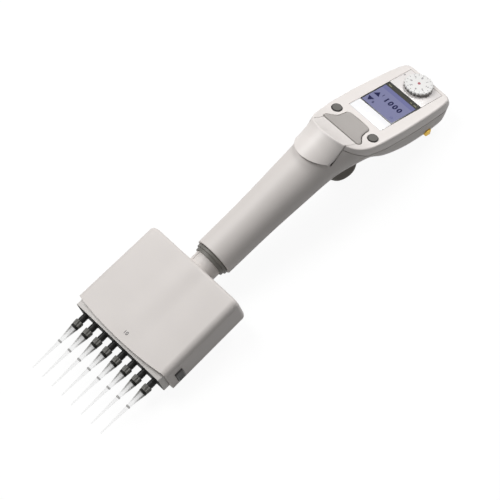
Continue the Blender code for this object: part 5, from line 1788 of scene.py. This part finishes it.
@dataclass(frozen=True)
class DisplayPanel:
    """The display with plain digits, the label strip under it and the plate round the dial.

    Attributes:
        half_width: the panels' half width.
        strip: bottom, top and corner radius of the label strip.
        window: the same of the window.
        plate: the same of the plate.
        thickness: the panels' thickness.
        edge: the radius of their edges.
        dial_hole: radius and face height of the hole for the dial's hub.
        screen_half_width: the half width of the lit part.
        foot: how far out of the face what it shows starts.
        layers: how far out the bands, the digits and the marks end.
        bands: name, bottom, top and look of the screen's bands.
        texts: name, digits, height, x, v, spacing, weight and look of what the screen shows.
        arrows: name, x, v and direction of the arrows.
        arrow: half width and half height of an arrow.
        marks: x and half width of the small bars on the top band.
        mark_heights: bottom and top of those bars.
    """

    half_width: float = 13.9
    strip: Place = (-22.4, -13.15, 0.5)
    window: Place = (-13.0, 13.0, 0.4)
    plate: Place = (13.15, 31.8, 0.5)
    thickness: float = 0.8
    edge: float = 0.12
    dial_hole: Point = (2.9, 24.4)
    screen_half_width: float = 13.2
    foot: float = 0.005
    layers: Place = (0.04, 0.06, 0.08)
    bands: Sequence[tuple[str, float, float, Look]] = (
        ("screen_field", -12.3, 5.6, Look.SCREEN),
        ("screen_band", 5.6, 8.9, Look.SCREEN_BAND),
        ("screen_bar", 8.9, 12.3, Look.SCREEN_BAR),
    )
    texts: Sequence[tuple[str, str, float, float, float, float, float, Look]] = (
        ("screen_digits", "1000", 4.0, 2.6, -0.8, 1.34, 0.24, Look.INK),
        ("screen_count", "1", 2.0, -7.0, 0.6, 1.0, 0.08, Look.INK),
        ("screen_step", "8", 1.9, -6.7, -9.1, 1.0, 0.05, Look.INK),
        ("screen_small_digits", "10", 1.6, 9.6, -9.2, 1.0, 0.0, Look.FAINT_INK),
    )
    arrows: Sequence[tuple[str, float, float, int]] = (
        ("screen_up", -10.2, -0.9, 1), ("screen_down", -10.4, -8.3, -1),
    )
    arrow: Point = (2.3, 1.9)
    marks: Sequence[Point] = ((-10.9, 1.2), (7.6, 0.6), (11.0, 1.0))
    mark_heights: Point = (10.2, 10.9)

    def build(self, shop: Workshop) -> None:
        """Make the panels and what the display shows.

        Args:
            shop: where the pieces are added.
        """
        strip = self._slab(*self.strip)
        shop.add("label_strip", strip, Look.LABEL, "handle", "white_panel", "label_panel")
        carver = Carver(self._slab(*self.plate))
        radius, v = self.dial_hole
        carver.cut(raised(circle(radius, 0.0, v), -PAST_FACE, PAST_FACE))
        shop.add("dial_plate", carver.done(), Look.PLATE, "handle", "pale_housing", "dial_panel")
        window = self._slab(*self.window)
        shop.add("display_glass", window, Look.GLASS_FRAME, "handle", "display_blue", "display_window")
        band_height, text_height, mark_height = self.layers
        for name, bottom, top, look in self.bands:
            self._print(shop, name, upright(self.screen_half_width, bottom, top), band_height, look)
        for name, text, height, x, v, spacing, weight, look in self.texts:
            digits = shop.digits(text, height, spacing, weight)
            for vertex in digits.verts:
                vertex.co = FACE.point(x + vertex.co.x, v + vertex.co.y, text_height + vertex.co.z)
            shop.add(name, digits, look, "handle", "display_blue")
        wide, tall = self.arrow
        for name, x, v, way in self.arrows:
            outline = [(x - wide, v - way * tall), (x + wide, v - way * tall), (x, v + way * tall)]
            self._print(shop, name, outline, mark_height, Look.INK)
        for number, (x, half_width) in enumerate(self.marks, 1):
            outline = upright(half_width, *self.mark_heights, x)
            self._print(shop, f"status_mark_{number}", outline, mark_height, Look.SCREEN_MARK)

    def _slab(self, bottom: float, top: float, corner: float) -> BMesh:
        """Give one panel, with soft corners and a fine edge."""
        outline = rounded(upright(self.half_width, bottom, top), corner)
        return raised(outline, -self.thickness, 0.0, self.edge)

    def _print(self, shop: Workshop, name: str, outline: Outline, height: float, look: Look) -> None:
        """Lay a thin printed or lit shape on the window."""
        shop.add(name, raised(outline, self.foot, height), look, "handle", "display_blue")


@dataclass(frozen=True)
class Keys:
    """The two softkeys and the rocker.

    Attributes:
        place: a softkey's place across and face height.
        radius: its radius.
        rings: a softkey's height and share of its radius, from its foot to its dished top.
        rim: the share of the radius inside which the top is dished, outside which it is painted dark as
            painted shade, and the height there.
        half_widths: how far below the display's centre a row of the rocker lies, and its half width.
        proud: how far the rocker stands out.
        depth: the rocker's thickness.
        edge: the radius of its edge.
        edge_fall: how much of that rounding falls.
        dish: how deep its middle is dished.
        grid: how many faces it has each way.
    """

    place: Point = (16.0, -31.3)
    radius: float = 3.35
    rings: Outline = (
        (-4.4, 1.0), (0.15, 1.0), (0.5, 0.985), (0.7, 0.93), (0.7, 0.86), (0.6, 0.82), (0.54, 0.6),
        (0.5, 0.3), (0.48, 0.05),
    )
    rim: Point = (0.84, 0.7)
    half_widths: Sequence[Point] = (
        (27.0, 6.9), (27.3, 8.2), (27.9, 9.1), (28.8, 9.6), (32.4, 10.0), (35.6, 10.7),
        (38.4, 13.0), (40.6, 15.2), (42.2, 15.7), (43.2, 15.4), (43.8, 14.4),
    )
    proud: float = 0.5
    depth: float = 3.2
    edge: float = 0.9
    edge_fall: float = 0.8
    dish: float = 0.35
    grid: int = 28

    def build(self, shop: Workshop) -> None:
        """Make the keys.

        Args:
            shop: where the pieces are added.
        """
        reach, v = self.place
        rim_share, rim_height = self.rim
        for side, word in SIDES:
            x = side * reach
            rings = []
            for height, share in self.rings:
                rings.append([FACE.point(*place, height) for place in circle(self.radius * share, x, v)])
            key = loft(rings)
            centre = FACE.point(x, v, rim_height)
            rim = self.radius * rim_share
            # The key's rim outside the dished top is painted dark as painted shade
            mark_faces(key, lambda place, _, centre=centre, rim=rim: (place - centre).length > rim, 1)
            node = f"{word}_softkey"
            shop.add(f"{word}_key", key, (Look.SOFTKEY, Look.KEY_RIM), node, "dark_grey", node)
        sink = FACE.point(0, 0, -self.depth) - FACE.point(0, 0, 0)
        rocker = thickened(sheet(self.grid, self.grid, self._rocker_point), lambda *_: sink)
        shop.add("rocker", rocker, Look.ROCKER, "rocker_key", "mid_grey", "rocker_key", 50)

    def _rocker_point(self, across: float, down: float) -> Vector:
        """Give the rocker's top, which follows the shelf's curve and rounds off at its edges.

        Args:
            across: the share of the width, from the left.
            down: the share of the height, from the top.

        Returns:
            The surface's point.
        """
        top = self.half_widths[0][0]
        bottom = self.half_widths[-1][0]
        below = top + (bottom - top) * (1 - math.cos(math.pi * down)) / 2
        half = smooth_row(self.half_widths, below)[0]
        share = math.sin(math.pi / 2 * (2 * across - 1))
        inside = min((1 - abs(share)) * half, below - top, bottom - below)
        fall = self.edge - math.sqrt(max(self.edge**2 - max(self.edge - inside, 0.0) ** 2, 0.0))
        dish = self.dish * (1 - share * share) * math.sin(math.pi * down)
        out = FACE.lift(-below) + self.proud - fall * self.edge_fall - dish
        return FACE.point(share * half, -below, out)


@dataclass(frozen=True)
class Dial:
    """The scalloped selection dial, with ticks, plain numbers and a red centre.

    Attributes:
        height: the face height of its centre.
        top: how far its top stands out of the face.
        teeth: how many scallops it has.
        rings: its sections, as (height, radius, scallop depth).
        side_end: the height under which its side is painted grey as painted shade.
        ticks: inner reach, outer reach and half width of a tick.
        tick_heights: how far a tick reaches into the top, and out of it.
        tick_count: how many ticks it has.
        numbers: reach and height of its numbers.
        number_count: how many numbers it has.
        weight: how much bolder than usual they are.
        dot: radius, reach into the top, reach out of it and edge radius of the red centre.
        mark: text and height of the small number beside it.
        mark_at: that number's place, as (x, v, h).
    """

    height: float = 24.4
    top: float = 3.2
    teeth: int = 24
    rings: Sequence[Place] = (
        (-3.0, 2.6, 0.0), (0.6, 2.6, 0.0), (0.6, 9.0, 0.45), (0.9, 9.4, 0.55), (2.2, 9.5, 0.6),
        (2.75, 9.4, 0.55), (3.05, 9.0, 0.3), (3.15, 7.8, 0.0), (3.2, 2.0, 0.0), (3.2, 0.2, 0.0),
    )
    side_end: float = 2.2
    ticks: Place = (7.2, 8.2, 0.12)
    tick_heights: Point = (0.4, 0.02)
    tick_count: int = 16
    numbers: Point = (5.4, 1.8)
    number_count: int = 8
    weight: float = 0.03
    dot: tuple[float, float, float, float] = (0.95, 0.05, 0.12, 0.08)
    mark: tuple[str, float] = ("0", 1.5)
    mark_at: Place = (-12.9, 25.2, 0.02)

    def build(self, shop: Workshop) -> None:
        """Make the dial and what is printed on it and beside it.

        Args:
            shop: where the pieces are added.
        """
        node = "selection_dial"
        dial = loft([self._ring(*row) for row in self.rings])
        normal = FACE.point(0, 0, 1) - FACE.point(0, 0, 0)
        centre = FACE.point(0, self.height, 0)
        # The dial's side, below side_end, is painted grey as painted shade
        mark_faces(dial, lambda place, _: (place - centre).dot(normal) < self.side_end, 1)
        shop.add("dial_cap", dial, (Look.DIAL, Look.DIAL_SIDE), node, "white_panel", node, 40)
        shop.add("dial_ticks", self._ticks(), Look.DIAL_PRINT, node, "dark_grey")
        reach, size = self.numbers
        for number in range(1, self.number_count + 1):
            turn = math.pi / 2 - 2 * math.pi * (number - 0.5) / self.number_count
            place = (reach * math.cos(turn), self.height + reach * math.sin(turn), self.top)
            digit = self._number(shop, str(number), size, place, turn - math.pi / 2)
            shop.add(f"dial_number_{number}", digit, Look.DIAL_PRINT, node, "dark_grey")
        radius, sunk, proud, edge = self.dot
        dot = raised(circle(radius, 0.0, self.height, 32), self.top - sunk, self.top + proud, edge)
        shop.add("dial_dot", dot, Look.RED_DOT, node, "white_panel")
        mark = self._number(shop, *self.mark, self.mark_at, 0.0)
        shop.add("panel_mark", mark, Look.PRINT, "handle", "dark_grey")

    def _ring(self, height: float, radius: float, depth: float) -> list[Vector]:
        """Give one section of the dial, with its scallops."""
        outline = fluted(radius, depth, self.teeth, 1)
        return [FACE.point(across, self.height + along, height) for across, along in outline]

    def _ticks(self) -> BMesh:
        """Give all ticks as thin raised bars in one mesh.

        Returns:
            The bars.
        """
        inner, outer, half_width = self.ticks
        sunk, proud = self.tick_heights
        ticks = bmesh.new()
        for step in range(self.tick_count):
            turn = 2 * math.pi * step / self.tick_count
            along = Vector((math.cos(turn), math.sin(turn)))
            aside = Vector((-along.y, along.x)) * half_width
            near, far = along * inner, along * outer
            corners = [near - aside, far - aside, far + aside, near + aside]
            outline = [(place.x, self.height + place.y) for place in corners]
            bar = raised(outline, self.top - sunk, self.top + proud)
            piece = bpy.data.meshes.new("tick")
            bar.to_mesh(piece)
            bar.free()
            ticks.from_mesh(piece)
            bpy.data.meshes.remove(piece)
        return ticks

    def _number(self, shop: Workshop, text: str, size: float, place: Place, turn: float) -> BMesh:
        """Give a number that stands on the face's plane, turned about its own middle.

        Args:
            shop: where digits are made.
            text: the number.
            size: its height.
            place: its middle, as (x, v, h).
            turn: how far it is turned, in radians.

        Returns:
            Its solid.
        """
        x, v, height = place
        digit = shop.digits(text, size, weight=self.weight)
        digit.transform(Matrix.Rotation(turn, 4, "Z"))
        for vertex in digit.verts:
            vertex.co = FACE.point(x + vertex.co.x, v + vertex.co.y, height + vertex.co.z)
        return digit


INNER_LOOKS: dict[Look, tuple[str, ...]] = {
    Look.STEEL: (
        "drive_motor", "lead_screw", "drive_rod", "ejector_rod", "ejector_spring",
        *(f"piston_{number}" for number in range(1, CHANNELS + 1)),
    ),
    Look.ALUMINIUM: ("piston_carrier",),
    Look.BOARD: ("main_board",),
    Look.CELL: ("battery",),
    Look.BLACK: ("cone_plate", "display_module"),
    Look.RING: ("motor_bracket",),
    Look.HOUSING: ("cone_retainer", "ejector_yoke", "ejector_sleeve"),
}


@dataclass(frozen=True)
class Studio:
    """The floor, the room's light, the lamps and the camera.

    Attributes:
        floor_reach: half the floor's width, in metres.
        floor_drop: how far under the pipette it lies, so that the two never meet.
        floor_light: what the floor throws back up.
        floor_shadow: how much of the object's shadow shows on the floor.
        floor_dim: how much less it shines by itself, as a share of that.
        room_light: the even light from all round.
        lamps: name, place, size and power of the lamps, in metres and watts.
        lens: the camera's focal length, in millimetres.
        sensor: the width of its sensor.
        sight: how far it sees, in metres.
        eye: the camera's place in the pipette's frame.
        right: the picture's right in that frame.
        down: the picture's down in that frame.
    """

    floor_reach: float = 6.0
    floor_drop: float = 0.0002
    floor_light: float = 0.30
    floor_shadow: float = 0.10
    floor_dim: float = 0.7
    room_light: float = 0.20
    lamps: Sequence[tuple[str, Place, float, float]] = (
        ("key_light", (-0.75, -0.15, 1.25), 0.9, 12.3),
        ("head_light", (-0.25, 1.1, 0.9), 0.5, 8.0),
    )
    lens: float = 216.0
    sensor: float = 36.0
    sight: float = 20.0
    eye: Place = (788.1, -1617.7, -108.3)
    right: Place = (0.6715, 0.2116, 0.7101)
    down: Place = (0.605, 0.3966, -0.6904)

    def build(self) -> None:
        """Set everything up."""
        self._floor()
        self._room()
        self._lights()
        self._camera()
        bpy.context.scene.view_settings.view_transform = "Standard"
        log.info("the studio stands")

    @staticmethod
    def _seen(tree: bpy.types.NodeTree) -> bpy.types.NodeSocket:
        """Give one for rays that the eye, a mirror or glass sends, and nought for the rest.

        Args:
            tree: the nodes that it is needed among.

        Returns:
            The socket with that number.
        """
        path = add_node(tree, "ShaderNodeLightPath")
        larger = {"operation": "MAXIMUM"}
        seen = path.outputs["Is Camera Ray"]
        for name in ("Is Glossy Ray", "Is Transmission Ray"):
            both = {0: seen, 1: path.outputs[name]}
            seen = add_node(tree, "ShaderNodeMath", larger, both).outputs["Value"]
        return seen

    def _floor(self) -> None:
        """Lay a plain pale floor that shows white, keeps the shadow and throws little light back."""
        floor = bmesh.new()
        bmesh.ops.create_grid(floor, x_segments=1, y_segments=1, size=self.floor_reach)
        bmesh.ops.translate(floor, vec=(0.0, 0.0, -self.floor_drop), verts=floor.verts)
        plane = placed("floor", floor)
        material = bpy.data.materials.new("painted_board_pale")
        material.use_nodes = True
        tree = material.node_tree
        tree.nodes.remove(tree.nodes["Principled BSDF"])
        grey = (self.floor_light, self.floor_light, self.floor_light, 1.0)
        faint = (self.floor_shadow, self.floor_shadow, self.floor_shadow, 1.0)
        dull = add_node(tree, "ShaderNodeBsdfDiffuse", {"Color": grey}).outputs["BSDF"]
        shadow = add_node(tree, "ShaderNodeBsdfDiffuse", {"Color": faint}).outputs["BSDF"]
        strength = {"Strength": 1.0 - self.floor_shadow * self.floor_dim}
        white = add_node(tree, "ShaderNodeEmission", strength).outputs["Emission"]
        shown = add_node(tree, "ShaderNodeAddShader", None, {0: white, 1: shadow}).outputs["Shader"]
        mixed = add_node(tree, "ShaderNodeMixShader", None, {0: self._seen(tree), 1: dull, 2: shown})
        tree.links.new(mixed.outputs["Shader"], tree.nodes["Material Output"].inputs["Surface"])
        plane.data.materials.append(material)

    def _room(self) -> None:
        """Fill the room with even light, and show it white."""
        world = bpy.data.worlds.new("room")
        world.use_nodes = True
        tree = world.node_tree
        sky = tree.nodes["Background"]
        sky.inputs["Color"].default_value = (1.0, 1.0, 1.0, 1.0)
        span = {"To Min": self.room_light, "To Max": 1.0}
        strength = add_node(tree, "ShaderNodeMapRange", span, {"Value": self._seen(tree)})
        tree.links.new(strength.outputs["Result"], sky.inputs["Strength"])
        bpy.context.scene.world = world

    def _lights(self) -> None:
        """Hang a large soft lamp above and to the left, and a smaller one over the head."""
        for name, place, size, power in self.lamps:
            lamp = bpy.data.lights.new(name, "AREA")
            lamp.shape = "DISK"
            lamp.size = size
            lamp.energy = power
            shown = placed(name, lamp)
            shown.location = place
            shown.rotation_euler = (-Vector(place)).to_track_quat("-Z", "Y").to_euler()

    def _camera(self) -> None:
        """Stand the camera where the photograph was taken from."""
        turn = BENCH.matrix().to_3x3().normalized()
        right = turn @ Vector(self.right).normalized()
        forward = right.cross(turn @ Vector(self.down).normalized()).normalized()
        down = forward.cross(right)
        lens = bpy.data.cameras.new("camera")
        lens.sensor_width = self.sensor
        lens.lens = self.lens
        lens.clip_end = self.sight
        camera = placed("camera", lens)
        axes = Matrix((right, -down, -forward)).transposed().to_4x4()
        camera.matrix_world = Matrix.Translation(BENCH.matrix() @ Vector(self.eye)) @ axes
        bpy.context.scene.camera = camera


# The sub-assemblies, in the order in which they are dressed
PARTS = (
    TipRow(), ConeRow(), EjectorComb(), LowerHousing(), Neck(), Shells(), ThumbEjector(), FingerHook(),
    DisplayPanel(), Keys(), Dial(),
)


def main() -> None:
    """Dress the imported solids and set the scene."""
    logging.basicConfig(level=logging.INFO)
    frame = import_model()
    shop = Workshop()
    for look, names in INNER_LOOKS.items():
        for name in names:
            shop.paint(frame["nodes"][name], look)
    for part in PARTS:
        part.build(shop)
        log.info("%s is done", type(part).__name__)
    Studio().build()


if __name__ == "__main__":
    main()
